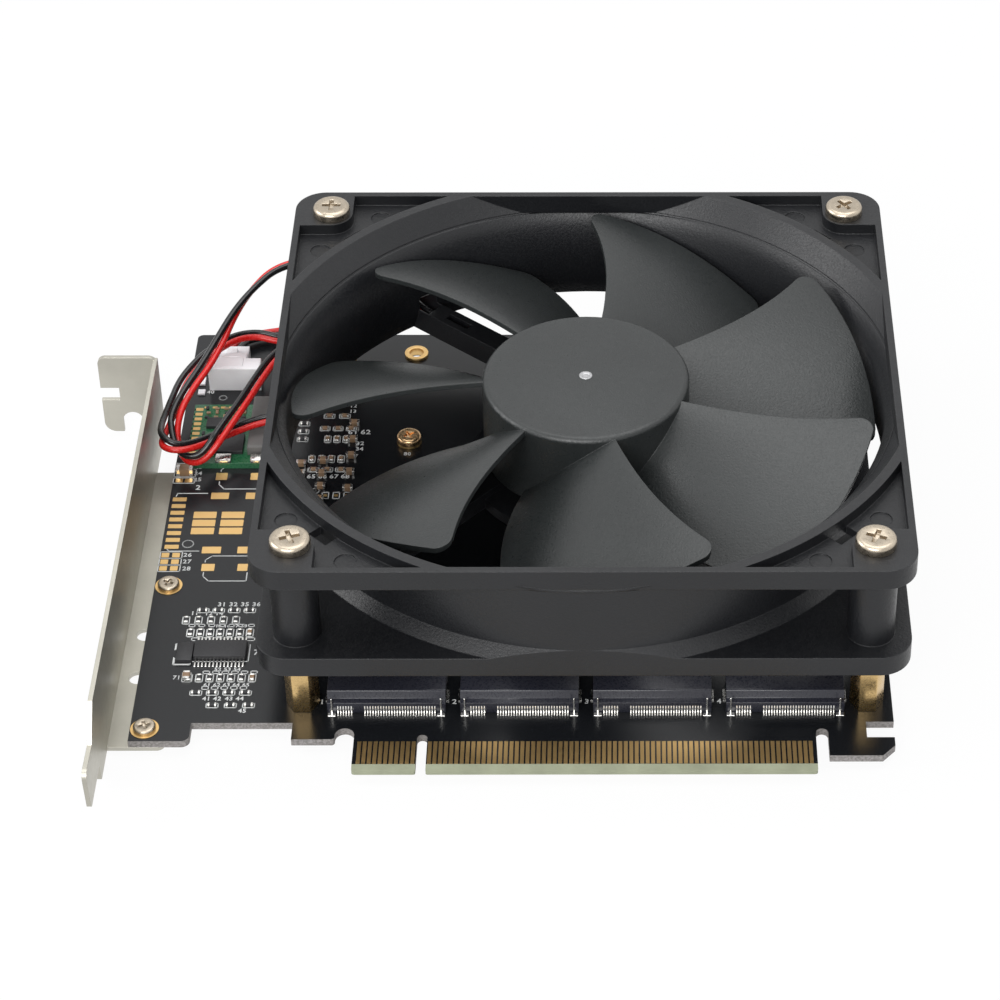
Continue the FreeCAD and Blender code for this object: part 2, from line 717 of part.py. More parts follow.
def makeSockets():
    for index in range(4):
        body = newBody(f"drive_socket_{index + 1}")
        depth = dim("socketDepth")
        height = dim("socketHeight")
        profile = rounded([(0, 0), (depth, 0), (depth, 1.5), (2.6, 1.9), (2.6, 3.4), (depth, 3.7),
                           (depth, height, 0.3), (1.6, height, 0.4), (1.0, 2.7), (0, 2.4)])
        shape = newSketch(body, "SocketProfile", "YZ_Plane", "-Sizes.socketWidth / 2", profile)
        pad(body, shape, "Sizes.socketWidth")
        rib = polygon([(-7.0, 1.2), (-5.7, 1.2), (-5.7, 4.0), (-7.0, 4.0)])
        keyRib = newSketch(body, "KeyRib", "XZ_Plane", "-(Sizes.socketDepth - 0.4)", rib)
        pad(body, keyRib, "5.0")
        half = dim("socketWidth") / 2
        ends = []
        for side in (-1, 1):
            inner = side * (half - 1.1)
            outer = side * (half + 1)
            ends += polygon([(inner, 2.8), (outer, 2.8), (outer, 6.2), (inner, 6.2)])
        pocket(body, newSketch(body, "TabSeats", "XY_Plane", "0", ends), "1.6", upward=True)
        place(body, f"Sizes.firstSocketX + {index} * Sizes.socketPitch", "Sizes.socketFront", "0")
    tabs = []
    for x in socketCentres():
        for side in (-1, 1):
            low = x + side * (dim("socketWidth") / 2 - 0.3) - 0.8
            foot = Part.makeBox(1.6, 3.0, 0.25, Vec(low, dim("socketFront") + 3.0, 0))
            tabs.append(foot)
    feature("socket_tabs", Part.makeCompound(tabs))


def makeDriveHolders():
    seat = dim("driveSeat")
    ring = ringSolid(dim("standoffRing"), dim("threadBore"), 0, seat)
    neck = ringSolid(1.7, dim("threadBore"), -1.2, 0)
    holder = ring.fuse(neck).removeSplitter()
    places = []
    for x in socketCentres():
        places += [(x, dim("driveDatum") + length, 0) for length in HELD_LENGTHS]
    feature("drive_standoffs", copies(holder, places))
    screw = panScrew(2.5, 1.5, dim("screwRadius"), 2.2)
    fitted = [(x, dim("driveDatum") + HELD_LENGTHS[0], seat) for x in socketCentres()]
    feature("drive_screws", copies(screw, fitted, (30, 75, 10, 55)))


# Small parts beside the fan

def makeHeader():
    width = dim("headerWidth")
    depth = dim("headerDepth")
    height = dim("headerHeight")
    body = newBody("fan_header")
    shell = rounded([(0, 0), (width, 0), (width, height, 0.3), (0, height, 0.3)])
    pad(body, newSketch(body, "HeaderShell", "XZ_Plane", "-Sizes.headerDepth", shell), "Sizes.headerDepth")
    mouth = rounded([(0.8, 0.7), (width - 0.8, 0.7), (width - 0.8, height - 0.8), (0.8, height - 0.8)])
    opening = newSketch(body, "HeaderMouth", "XZ_Plane", "-Sizes.headerDepth", mouth)
    pocket(body, opening, "Sizes.headerDepth - 1.2", upward=True)
    step = polygon([(7.8, depth - 1.9), (width + 1, depth - 1.9), (width + 1, depth + 1), (7.8, depth + 1)])
    pocket(body, newSketch(body, "HeaderStep", "XY_Plane", "0", step), "Sizes.headerHeight", upward=True)
    place(body, "Sizes.headerLeft", "Sizes.headerFront", "0")

    left = dim("headerLeft")
    front = dim("headerFront")
    pins = []
    for index in range(4):
        x = left + 1.75 + 2.0 * index
        pins.append(Part.makeBox(0.5, 4.2, 0.5, Vec(x, front + 0.3, 2.5)))
    feature("header_pins", Part.makeCompound(pins))

    plug = box("PlugBlock", "Sizes.plugWidth", "Sizes.plugLength", "3.9",
               "Sizes.headerLeft + 0.9", "Sizes.headerFront + 1.3", "0.8")
    latch = box("PlugLatch", "2.4", "1.9", "0.6",
                "Sizes.headerLeft + 3.2", "Sizes.headerFront + 5.75", "4.7")
    holes = doc.addObject("Part::Feature", "PlugHoles")
    holes.Shape = Part.makeCompound([
        Part.makeBox(0.8, 4.0, 0.8, Vec(left + 1.6 + 2.0 * index, front + 1.2, 2.35))
        for index in range(4)])
    plugBody = cut("PlugBody", fuse("PlugSolid", [plug, latch]), holes)
    keep(plugBody, "fan_plug")


def makePowerModule():
    plate = box("ModulePlate", "Sizes.moduleWidth", "Sizes.moduleLength", "Sizes.moduleThickness",
                "Sizes.moduleLeft", "Sizes.moduleFront", "0")
    notches = doc.addObject("Part::Feature", "Castellations")
    notches.Shape = Part.makeCompound([
        Part.makeCylinder(0.35, 3, Vec(dim("moduleLeft"), dim("moduleFront") + 1.7 + 1.6 * index, -0.5))
        for index in range(11)])
    keep(cut("Module", plate, notches), "power_board")
    top = dim("moduleThickness")
    blocks = []
    for y in (89.9, 98.9):
        block = Part.makeBox(4.6, 8.0, 2.4, Vec(-39.6, y, top))
        blocks.append(block.makeChamfer(0.35, [e for e in block.Edges if e.BoundBox.ZMin > top + 2.3]))
    feature("power_inductors", Part.makeCompound(blocks))
    chips = [Part.makeBox(lx, ly, height, Vec(x, y, top)) for x, y, lx, ly, height in (
        (-48.6, 96.0, 5.0, 6.0, 0.9), (-46.6, 90.0, 3.2, 3.2, 0.8), (-43.0, 97.0, 2.2, 3.4, 0.8))]
    feature("power_chips", Part.makeCompound(chips))


def makeClockChip():
    body = newBody("clock_chip")
    outline = rounded([(0, 0, 0.2), (9.9, 0, 0.2), (9.9, 4.6, 0.2), (0, 4.6, 0.2)])
    pad(body, newSketch(body, "ChipOutline", "XY_Plane", "0.15", outline), "1.0")
    place(body, "-44.4", "29.6", "0")
    leads = []
    for index in range(14):
        x = -44.2 + 0.7 * index
        for y in (28.6, 34.2):
            leads.append(Part.makeBox(0.3, 1.0, 0.2, Vec(x, y, 0)))
    feature("chip_leads", Part.makeCompound(leads))
    can = box("CrystalCan", "3.2", "5.2", "0.9", "-47.8", "28.8", "0")
    keep(can, "crystal")


# each row: first x, y, length, width, height, count, step in x, step in y
CAPACITOR_ROWS = (
    (-53.7, 84.9, 3.4, 1.9, 1.7, 1, 0, 0),
    (-29.6, 75.0, 2.0, 1.2, 1.1, 5, 0, 3.2),
    (-25.2, 76.5, 2.0, 1.2, 1.1, 4, 0, 4.1),
    (-19.6, 74.6, 2.0, 1.2, 1.1, 6, 0, 5.3),
)
RESISTOR_ROWS = (
    (-46.2, 36.6, 0.8, 1.6, 0.45, 6, 1.9, 0),
    (-47.4, 40.2, 0.8, 1.6, 0.45, 5, 2.4, 0),
    (-44.8, 43.4, 1.6, 0.8, 0.45, 4, 3.0, 0),
    (-45.2, 23.9, 0.8, 1.6, 0.45, 6, 2.0, 0),
    (-43.8, 20.2, 1.6, 0.8, 0.45, 4, 3.1, 0),
    (-40.4, 16.8, 1.6, 0.8, 0.45, 3, 3.4, 0),
    (-29.8, 96.4, 1.6, 0.8, 0.45, 4, 0, 2.6),
)


def chipRows(rows):
    chips = []
    for x, y, length, width, height, count, stepX, stepY in rows:
        for index in range(count):
            corner = Vec(x + index * stepX, y + index * stepY, 0)
            chips.append(Part.makeBox(length, width, height, corner))
    return Part.makeCompound(chips)


# The fan's cable: two wires that lie against each other

# x, y, z of the middle of the pair, and how far the pair has turned about its own line, in degrees:
# at 0 the red wire is on the left of the way it runs, at 90 it is underneath
CABLE = (
    (35, 86.1, 16, 90), (25.7, 93.7, 16, 90), (13.6, 104.1, 16, 90), (2.7, 112.9, 16, 90),
    (-4.1, 118.8, 16.3, 90), (-10.3, 123.9, 19, 100), (-17, 127.7, 19.9, 130), (-27, 133.2, 19.9, 165),
    (-35.8, 130.4, 19.9, 160), (-40.6, 123.4, 18.8, 130), (-43.9, 117.8, 16.7, 95),
    (-46.3, 111.7, 14.4, 50), (-48.8, 105.7, 12.6, 20), (-51.6, 100.1, 11.2, 0), (-53.4, 95, 10.2, 0),
    (-54.1, 92.1, 8.9, 20), (-54, 90.1, 7.4, 50), (-53.6, 88.1, 6.1, 60), (-52.8, 86.3, 5.3, 65),
    (-51.4, 84.9, 4.7, 75), (-49.5, 84.2, 4.8, 95), (-47.6, 84.6, 5.6, 120), (-46, 85.6, 7.2, 135),
    (-44.6, 87.1, 8.7, 150), (-42.8, 90.7, 9.6, 170), (-40.6, 96, 10.1, 180),
    (-38.1, 103.6, 10.4, 180), (-35.8, 110.9, 10.2, 180), (-31.8, 117.2, 10, 190),
    (-26.8, 118.2, 9.6, 220), (-23, 114.8, 9.3, 270), (-22.2, 108.6, 8.9, 310),
    (-23.6, 102.4, 8.3, 345), (-27.6, 97.6, 7.4, 360), (-33.2, 96.5, 6.4, 360),
    (-38.7, 95.4, 5.6, 360), (-42.6, 93.1, 5.4, 360), (-46.1, 90.2, 5.8, 360), (-49, 86.9, 6.8, 360),
    (-51.2, 84.9, 7.6, 365), (-53.6, 84.3, 8.1, 380), (-55.4, 85.3, 8.3, 410), (-56.3, 87.5, 8, 450),
    (-56.3, 90.8, 7.4, 490), (-55.9, 95, 7, 525), (-55.1, 100.2, 7.3, 540), (-53.9, 105.7, 8.3, 540),
    (-51.6, 110.4, 9, 540), (-49.3, 114, 9.3, 540), (-46.5, 117.8, 9.2, 540), (-43.3, 120.8, 8.8, 540),
    (-39.6, 122, 8.3, 540), (-36.3, 121.5, 7.6, 540), (-32.2, 121.6, 6.6, 540), (-29.2, 124, 5.4, 540),
    (-28.8, 128.1, 4, 540), (-31.7, 131, 2.8, 540), (-37.2, 131.4, 1.7, 540), (-42.1, 130.2, 1.6, 540),
    (-45.1, 127.1, 2.2, 540), (-45.6, 122.6, 2.8, 540),
)


def oneWire(offset):
    """The path of one wire of the pair; the red one has the positive offset."""
    path = []
    for index, (x, y, z, turn) in enumerate(CABLE):
        before = CABLE[max(index - 1, 0)]
        after = CABLE[min(index + 1, len(CABLE) - 1)]
        along = Vec(after[0] - before[0], after[1] - before[1], 0).normalize()
        left = UP.cross(along)
        angle = math.radians(turn)
        path.append(Vec(x, y, z) + (left * math.cos(angle) - UP * math.sin(angle)) * offset)
    return path


def cordSolid(name, corners, diameter):
    """A round cord along straight runs joined by tangent arcs."""
    edges = []
    start = corners[0]
    radii = []
    for before, corner, after in zip(corners, corners[1:], corners[2:]):
        toBefore = before - corner
        toAfter = after - corner
        reach = 0.45 * min(toBefore.Length, toAfter.Length)
        toBefore.normalize()
        toAfter.normalize()
        half = toBefore.getAngle(toAfter) / 2
        radius = reach * math.tan(half)
        radii.append(radius)
        middle = (toBefore + toAfter).normalize()
        centre = corner + middle * (reach / math.cos(half))
        arcStart = corner + toBefore * reach
        arcEnd = corner + toAfter * reach
        edges.append(Part.LineSegment(start, arcStart).toShape())
        edges.append(Part.Arc(arcStart, centre - middle * radius, arcEnd).toShape())
        start = arcEnd
    edges.append(Part.LineSegment(start, corners[-1]).toShape())
    path = Part.Wire(edges)
    section = Part.Wire(Part.Circle(corners[0], corners[1] - corners[0], diameter / 2).toShape())
    solid = path.makePipeShell([section], True, False)
    area = math.pi * diameter ** 2 / 4
    print(f"{name}: {path.Length:.1f} mm, bends {[round(radius, 1) for radius in radii]} mm, "
          f"volume against section x length {solid.Volume / (area * path.Length):.3f}")
    return solid


def makeWires():
    gap = dim("wireSpacing") / 2
    for node, offset in (("red_wire", gap), ("black_wire", -gap)):
        feature(node, cordSolid(node, oneWire(offset), dim("wireDiameter")))


print("board and bracket")
makeBoard()
makeContacts()
makeBracket()
makeBracketScrews()
print("fan and motor")
makeStandoffs()
makeFanScrews()
makeFanFrame()
makeImpeller()
makeMotor()
print("sockets and small parts")
makeSockets()
makeDriveHolders()
makeHeader()
makePowerModule()
makeClockChip()
feature("ceramic_capacitors", chipRows(CAPACITOR_ROWS))
feature("chip_resistors", chipRows(RESISTOR_ROWS))
makeWires()
doc.recompute()

for item in doc.Objects:
    if "Invalid" in item.State or "Error" in item.State:
        raise SystemExit(f"{item.Name} did not recompute: {item.State}")
os.makedirs("parts", exist_ok=True)
for node, item in nodes.items():
    shape = item.Shape
    if shape.isNull() or not shape.isValid() or not shape.Solids:
        raise SystemExit(f"{node} has no valid solid")
    shape.exportStep(f"parts/{node}.step")
    limits = shape.optimalBoundingBox(False)
    print(f"{node}: {len(shape.Solids)} solids, {shape.Volume:.0f} mm3, "
          f"x {limits.XMin:.2f} {limits.XMax:.2f}, y {limits.YMin:.2f} {limits.YMax:.2f}, "
          f"z {limits.ZMin:.2f} {limits.ZMax:.2f}")
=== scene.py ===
import bpy
import json
import math
from mathutils import Matrix, Vector


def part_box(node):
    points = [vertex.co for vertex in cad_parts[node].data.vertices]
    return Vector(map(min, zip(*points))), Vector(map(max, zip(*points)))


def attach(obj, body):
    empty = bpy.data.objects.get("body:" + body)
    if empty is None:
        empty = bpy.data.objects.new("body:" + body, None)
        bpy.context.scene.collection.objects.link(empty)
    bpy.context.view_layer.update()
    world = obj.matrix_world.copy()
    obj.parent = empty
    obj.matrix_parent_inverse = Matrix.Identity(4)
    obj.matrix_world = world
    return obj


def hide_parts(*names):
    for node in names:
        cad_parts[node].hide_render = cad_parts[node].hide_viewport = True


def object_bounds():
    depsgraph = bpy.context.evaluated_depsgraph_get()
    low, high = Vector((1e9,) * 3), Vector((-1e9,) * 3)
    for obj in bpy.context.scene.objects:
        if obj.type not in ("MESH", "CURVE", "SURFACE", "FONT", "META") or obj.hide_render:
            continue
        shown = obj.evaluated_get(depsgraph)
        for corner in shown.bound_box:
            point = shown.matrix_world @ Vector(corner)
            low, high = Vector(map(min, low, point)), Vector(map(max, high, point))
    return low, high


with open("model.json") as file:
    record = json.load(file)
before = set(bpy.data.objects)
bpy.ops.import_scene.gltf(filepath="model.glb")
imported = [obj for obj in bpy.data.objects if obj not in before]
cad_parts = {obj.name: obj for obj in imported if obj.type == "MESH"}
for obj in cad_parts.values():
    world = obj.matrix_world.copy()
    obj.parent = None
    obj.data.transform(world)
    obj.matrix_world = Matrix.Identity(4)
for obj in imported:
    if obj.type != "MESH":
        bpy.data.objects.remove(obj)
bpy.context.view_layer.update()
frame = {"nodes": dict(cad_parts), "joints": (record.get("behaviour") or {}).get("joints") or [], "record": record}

nodes = frame["nodes"]
mm = 0.001
up = Vector((0, 0, 1))
rotorNodes = ("impeller", "rotor_yoke", "rotor_magnet", "motor_shaft", "shaft_clip")
slotOf = {part["node"]: part["material_slot"] for part in frame["record"]["subparts"]}
fanAxis = Vector((*frame["joints"][0]["pos_m"][:2], 0))  # where the rotor's axis meets the board

viewpoint = {
    "place": (37.044, -414.236, 406.433),  # mm
    "tilt": 51.710,                        # degrees from straight down
    "turn": -0.262,
    "roll": 0.099,
    "lens": 113.99,
    "shift": (-0.13432, -0.07206),
}


def boxOf(node):  # a node's lowest and highest corners, in mm
    return [Vector(corner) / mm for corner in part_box(node)]


def setCamera():
    bpy.ops.object.camera_add(location=[c * mm for c in viewpoint["place"]])
    camera = bpy.context.object
    turn = Matrix.Rotation(math.radians(viewpoint["turn"]), 4, "Z")
    tilt = Matrix.Rotation(math.radians(viewpoint["tilt"]), 4, "X")
    roll = Matrix.Rotation(math.radians(viewpoint["roll"]), 4, "Z")
    camera.matrix_world = Matrix.Translation(camera.location) @ turn @ tilt @ roll
    camera.data.sensor_width = 36
    camera.data.lens = viewpoint["lens"]
    camera.data.shift_x, camera.data.shift_y = viewpoint["shift"]
    camera.data.clip_start = 0.01
    camera.data.clip_end = 20
    bpy.context.scene.camera = camera


# x, y, z of the middle of the pair in mm, and its turn about its own line in degrees:
# at 0 the red wire is on the left of the way it runs, at 90 it is underneath
cable = {
    "diameter": 1.35,
    "offset": 0.82,  # from the middle of the pair to each wire
    "lengths": {"redLead": 329.7, "blackLead": 321.1},
    "route": [
        (35, 86.1, 16, 90), (25.7, 93.7, 16, 90), (13.6, 104.1, 16, 90), (2.7, 112.9, 16, 90),
        (-4.1, 118.8, 16.3, 90), (-10.3, 123.9, 19, 100), (-17, 127.7, 19.9, 130),
        (-27, 133.2, 19.9, 165), (-35.8, 130.4, 19.9, 160), (-40.6, 123.4, 18.8, 130),
        (-43.9, 117.8, 16.7, 95), (-46.3, 111.7, 14.4, 50), (-48.8, 105.7, 12.6, 20),
        (-51.6, 100.1, 11.2, 0), (-53.4, 95, 10.2, 0), (-54.1, 92.1, 8.9, 20), (-54, 90.1, 7.4, 50),
        (-53.6, 88.1, 6.1, 60), (-52.8, 86.3, 5.3, 65),
        (-51.4, 84.9, 4.7, 75), (-49.5, 84.2, 4.8, 95), (-47.6, 84.6, 5.6, 120), (-46, 85.6, 7.2, 135),
        (-44.6, 87.1, 8.7, 150), (-42.8, 90.7, 9.6, 170), (-40.6, 96, 10.1, 180),
        (-38.1, 103.6, 10.4, 180), (-35.8, 110.9, 10.2, 180), (-31.8, 117.2, 10, 190),
        (-26.8, 118.2, 9.6, 220), (-23, 114.8, 9.3, 270), (-22.2, 108.6, 8.9, 310),
        (-23.6, 102.4, 8.3, 345), (-27.6, 97.6, 7.4, 360), (-33.2, 96.5, 6.4, 360),
        (-38.7, 95.4, 5.6, 360), (-42.6, 93.1, 5.4, 360), (-46.1, 90.2, 5.8, 360), (-49, 86.9, 6.8, 360),
        (-51.2, 84.9, 7.6, 365), (-53.6, 84.3, 8.1, 380), (-55.4, 85.3, 8.3, 410), (-56.3, 87.5, 8, 450),
        (-56.3, 90.8, 7.4, 490), (-55.9, 95, 7, 525), (-55.1, 100.2, 7.3, 540), (-53.9, 105.7, 8.3, 540),
        (-51.6, 110.4, 9, 540), (-49.3, 114, 9.3, 540), (-46.5, 117.8, 9.2, 540), (-43.3, 120.8, 8.8, 540),
        (-39.6, 122, 8.3, 540), (-36.3, 121.5, 7.6, 540), (-32.2, 121.6, 6.6, 540), (-29.2, 124, 5.4, 540),
        (-28.8, 128.1, 4, 540), (-31.7, 131, 2.8, 540), (-37.2, 131.4, 1.7, 540), (-42.1, 130.2, 1.6, 540),
        (-45.1, 127.1, 2.2, 540), (-45.6, 122.6, 2.8, 540),
    ],
}


def wirePath(offset):
    route = cable["route"]
    path = []
    for index, (x, y, z, turn) in enumerate(route):
        before = route[max(index - 1, 0)]
        after = route[min(index + 1, len(route) - 1)]
        along = Vector((after[0] - before[0], after[1] - before[1], 0)).normalized()
        left = up.cross(along)
        angle = math.radians(turn)
        path.append((Vector((x, y, z)) + (left * math.cos(angle) - up * math.sin(angle)) * offset) * mm)
    return path


def makeWire(name, node, offset):
    path = wirePath(offset)
    curve = bpy.data.curves.new(name, "CURVE")
    curve.dimensions = "3D"
    spline = curve.splines.new("NURBS")
    spline.points.add(len(path) - 1)
    for target, point in zip(spline.points, path):
        target.co = (*point, 1)
        target.radius = cable["diameter"] / 2 * mm
    spline.order_u = 3
    spline.use_endpoint_u = True
    spline.resolution_u = 10
    curve.bevel_depth = 1.0  # times each point's radius
    curve.bevel_resolution = 4
    curve.use_fill_caps = True
    wire = bpy.data.objects.new(name, curve)
    bpy.context.scene.collection.objects.link(wire)
    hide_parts(node)
    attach(wire, "card")
    return wire


setCamera()
leads = {
    "wire_red": makeWire("redLead", "red_wire", cable["offset"]),
    "wire_black": makeWire("blackLead", "black_wire", -cable["offset"]),
}
print("camera and cable ready")


lamps = {
    "overhead": {"place": (0.15, 0.25, 1.1), "aim": (0.02, 0.06, 0), "size": (1.2, 0.9), "power": 7.5},
    "front": {"place": (-0.25, -0.95, 0.75), "aim": (0.0, 0.05, 0.0), "size": (1.0, 0.6), "power": 12.0},
    "right": {"place": (1.0, 0.2, 0.55), "aim": (0.02, 0.06, 0), "size": (0.7, 0.7), "power": 0.6},
    "left": {"place": (-1.0, 0.1, 0.6), "aim": (0.02, 0.06, 0), "size": (0.7, 0.7), "power": 6.0},
}


def addLamps():
    for name, lamp in lamps.items():
        bpy.ops.object.light_add(type="AREA", location=lamp["place"])
        light = bpy.context.object
        light.name = name + "Lamp"
        light.data.shape = "RECTANGLE"
        light.data.size, light.data.size_y = lamp["size"]
        light.data.energy = lamp["power"]
        away = Vector(lamp["place"]) - Vector(lamp["aim"])
        light.rotation_euler = away.to_track_quat("Z", "Y").to_euler()


def newMaterial(name):
    material = bpy.data.materials.new(name)
    material.use_nodes = True
    return material, material.node_tree, material.node_tree.nodes["Principled BSDF"]


def addNode(tree, kind, **values):
    node = tree.nodes.new(kind)
    for key, value in values.items():
        setattr(node, key, value)
    return node


def feed(tree, socket, value):
    if isinstance(value, bpy.types.NodeSocket):
        tree.links.new(value, socket)
    elif value is not None:
        socket.default_value = value


def startGroup(name, inputs, outputs):
    tree = bpy.data.node_groups.new(name, "ShaderNodeTree")
    for label, default in inputs:
        socket = tree.interface.new_socket(label, in_out="INPUT", socket_type="NodeSocketFloat")
        socket.default_value = default
    for label, kind in outputs:
        tree.interface.new_socket(label, in_out="OUTPUT", socket_type=kind)
    return tree, tree.nodes.new("NodeGroupInput"), tree.nodes.new("NodeGroupOutput")


def sums(tree, operation, a, b, clamp=False):
    node = addNode(tree, "ShaderNodeMath", operation=operation, use_clamp=clamp)
    feed(tree, node.inputs[0], a)
    feed(tree, node.inputs[1], b)
    return node.outputs[0]


def mixColour(tree, factor, a, b):
    node = addNode(tree, "ShaderNodeMix", data_type="RGBA")
    feed(tree, node.inputs[0], factor)
    for index, colour in ((6, a), (7, b)):
        feed(tree, node.inputs[index], colour if isinstance(colour, bpy.types.NodeSocket) else (*colour, 1))
    return node.outputs[2]


def remap(tree, value, low, high, outLow=0.0, outHigh=1.0):
    node = addNode(tree, "ShaderNodeMapRange", clamp=True)
    for index, item in enumerate((value, low, high, outLow, outHigh)):
        feed(tree, node.inputs[index], item)
    return node.outputs[0]


def noiseAt(tree, scale, detail=3.0, roughness=0.5):
    noise = addNode(tree, "ShaderNodeTexNoise")
    tree.links.new(tree.nodes.new("ShaderNodeTexCoord").outputs["Object"], noise.inputs["Vector"])
    feed(tree, noise.inputs["Scale"], scale)
    noise.inputs["Detail"].default_value = detail
    noise.inputs["Roughness"].default_value = roughness
    return noise.outputs[0]


noiseSpan = (0.3, 0.7)  # where nearly all of a noise lies
edgeLook = {"samples": 4, "flat": 0.995, "sharp": 0.80, "breakScale": 420, "breakDetail": 5,
            "paler": 1.6, "lift": 0.02}
dustLook = {"steep": 0.3, "level": 1.0, "speckScale": 900, "speckDetail": 8, "speckRoughness": 0.8,
            "few": 0.45, "many": 0.75, "colour": (0.42, 0.41, 0.39)}


def buildGrain():  # fine grain as a height, and a slow drift of tone
    tree, given, out = startGroup("fineGrain", [("Size", 0.0005), ("Blotch", 0.02)],
                                  [("Height", "NodeSocketFloat"), ("Tone", "NodeSocketFloat")])
    fine = noiseAt(tree, sums(tree, "DIVIDE", 1.0, given.outputs["Size"]), 3, 0.6)
    slow = noiseAt(tree, sums(tree, "DIVIDE", 1.0, given.outputs["Blotch"]), 4)
    tree.links.new(fine, out.inputs["Height"])
    tree.links.new(slow, out.inputs["Tone"])
    return tree


def buildEdges():  # softened edges as a normal, and a broken mask of wear along them
    tree, given, out = startGroup("edgeWear", [("Width", 0.0002), ("Breakup", 0.4)],
                                  [("Mask", "NodeSocketFloat"), ("Normal", "NodeSocketVector")])
    bevel = addNode(tree, "ShaderNodeBevel", samples=edgeLook["samples"])
    tree.links.new(given.outputs["Width"], bevel.inputs["Radius"])
    face = tree.nodes.new("ShaderNodeNewGeometry")
    dot = addNode(tree, "ShaderNodeVectorMath", operation="DOT_PRODUCT")
    tree.links.new(bevel.outputs[0], dot.inputs[0])
    tree.links.new(face.outputs["Normal"], dot.inputs[1])
    edge = remap(tree, dot.outputs["Value"], edgeLook["flat"], edgeLook["sharp"])
    patches = noiseAt(tree, edgeLook["breakScale"], edgeLook["breakDetail"])
    kept = sums(tree, "SUBTRACT", 1.0, sums(tree, "MULTIPLY", patches, given.outputs["Breakup"]))
    tree.links.new(sums(tree, "MULTIPLY", edge, kept, clamp=True), out.inputs["Mask"])
    tree.links.new(bevel.outputs[0], out.inputs["Normal"])
    return tree


def buildDust():  # dust lies thinly and in specks on what faces up
    tree, given, out = startGroup("dust", [("Amount", 0.1)], [("Mask", "NodeSocketFloat")])
    face = tree.nodes.new("ShaderNodeNewGeometry")
    split = tree.nodes.new("ShaderNodeSeparateXYZ")
    tree.links.new(face.outputs["Normal"], split.inputs[0])
    facing = remap(tree, split.outputs["Z"], dustLook["steep"], dustLook["level"])
    fine = noiseAt(tree, dustLook["speckScale"], dustLook["speckDetail"], dustLook["speckRoughness"])
    specks = sums(tree, "MULTIPLY", facing, remap(tree, fine, dustLook["few"], dustLook["many"]))
    amount = sums(tree, "MULTIPLY", specks, given.outputs["Amount"], clamp=True)
    tree.links.new(amount, out.inputs["Mask"])
    return tree


def buildSides():  # 1 on faces that stand upright, 0 on those that lie flat
    tree, given, out = startGroup("uprightFaces", [("Limit", 0.7)], [("Mask", "NodeSocketFloat")])
    face = tree.nodes.new("ShaderNodeNewGeometry")
    split = tree.nodes.new("ShaderNodeSeparateXYZ")
    tree.links.new(face.outputs["True Normal"], split.inputs[0])
    lying = sums(tree, "ABSOLUTE", split.outputs["Z"], 0.0)
    tree.links.new(sums(tree, "LESS_THAN", lying, given.outputs["Limit"]), out.inputs["Mask"])
    return tree


effects = {"grain": buildGrain(), "edges": buildEdges(), "dust": buildDust(), "sides": buildSides()}


def useEffect(tree, name, **values):
    node = addNode(tree, "ShaderNodeGroup", node_tree=effects[name])
    for key, value in values.items():
        feed(tree, node.inputs[key], value)
    return node


# sizes are in metres; tone and spread are how far the colour and the roughness drift
def finishMaterial(name, colour, roughness, metallic=0.0, grain=0.0004, bump=0.05, bumpDepth=0.00006,
                   wear=0.3, dust=0.05, tone=0.12, spread=0.1, coat=0.0, coatRoughness=0.12,
                   specular=0.5, edge=0.0002):
    material, tree, shader = newMaterial(name)
    grainNode = useEffect(tree, "grain", Size=grain)
    edgeNode = useEffect(tree, "edges", Width=edge)
    dustNode = useEffect(tree, "dust", Amount=dust)
    darker = [c * (1 - tone) for c in colour]
    lighter = [min(1.0, c * (1 + tone)) for c in colour]
    drift = mixColour(tree, remap(tree, grainNode.outputs["Tone"], *noiseSpan), darker, lighter)
    worn = [min(1.0, c * edgeLook["paler"] + edgeLook["lift"]) for c in colour]
    edged = mixColour(tree, sums(tree, "MULTIPLY", edgeNode.outputs["Mask"], wear), drift, worn)
    dusted = mixColour(tree, dustNode.outputs[0], edged, dustLook["colour"])
    tree.links.new(dusted, shader.inputs["Base Color"])
    smoothest, roughest = max(0.02, roughness - spread), min(1.0, roughness + spread)
    rough = remap(tree, grainNode.outputs["Height"], *noiseSpan, smoothest, roughest)
    tree.links.new(rough, shader.inputs["Roughness"])
    shader.inputs["Metallic"].default_value = metallic
    shader.inputs["Specular IOR Level"].default_value = specular
    shader.inputs["Coat Weight"].default_value = coat
    shader.inputs["Coat Roughness"].default_value = coatRoughness
    bumpNode = addNode(tree, "ShaderNodeBump")
    bumpNode.inputs["Strength"].default_value = bump
    bumpNode.inputs["Distance"].default_value = bumpDepth
    tree.links.new(grainNode.outputs["Height"], bumpNode.inputs["Height"])
    tree.links.new(edgeNode.outputs["Normal"], bumpNode.inputs["Normal"])
    tree.links.new(bumpNode.outputs[0], shader.inputs["Normal"])
    return material


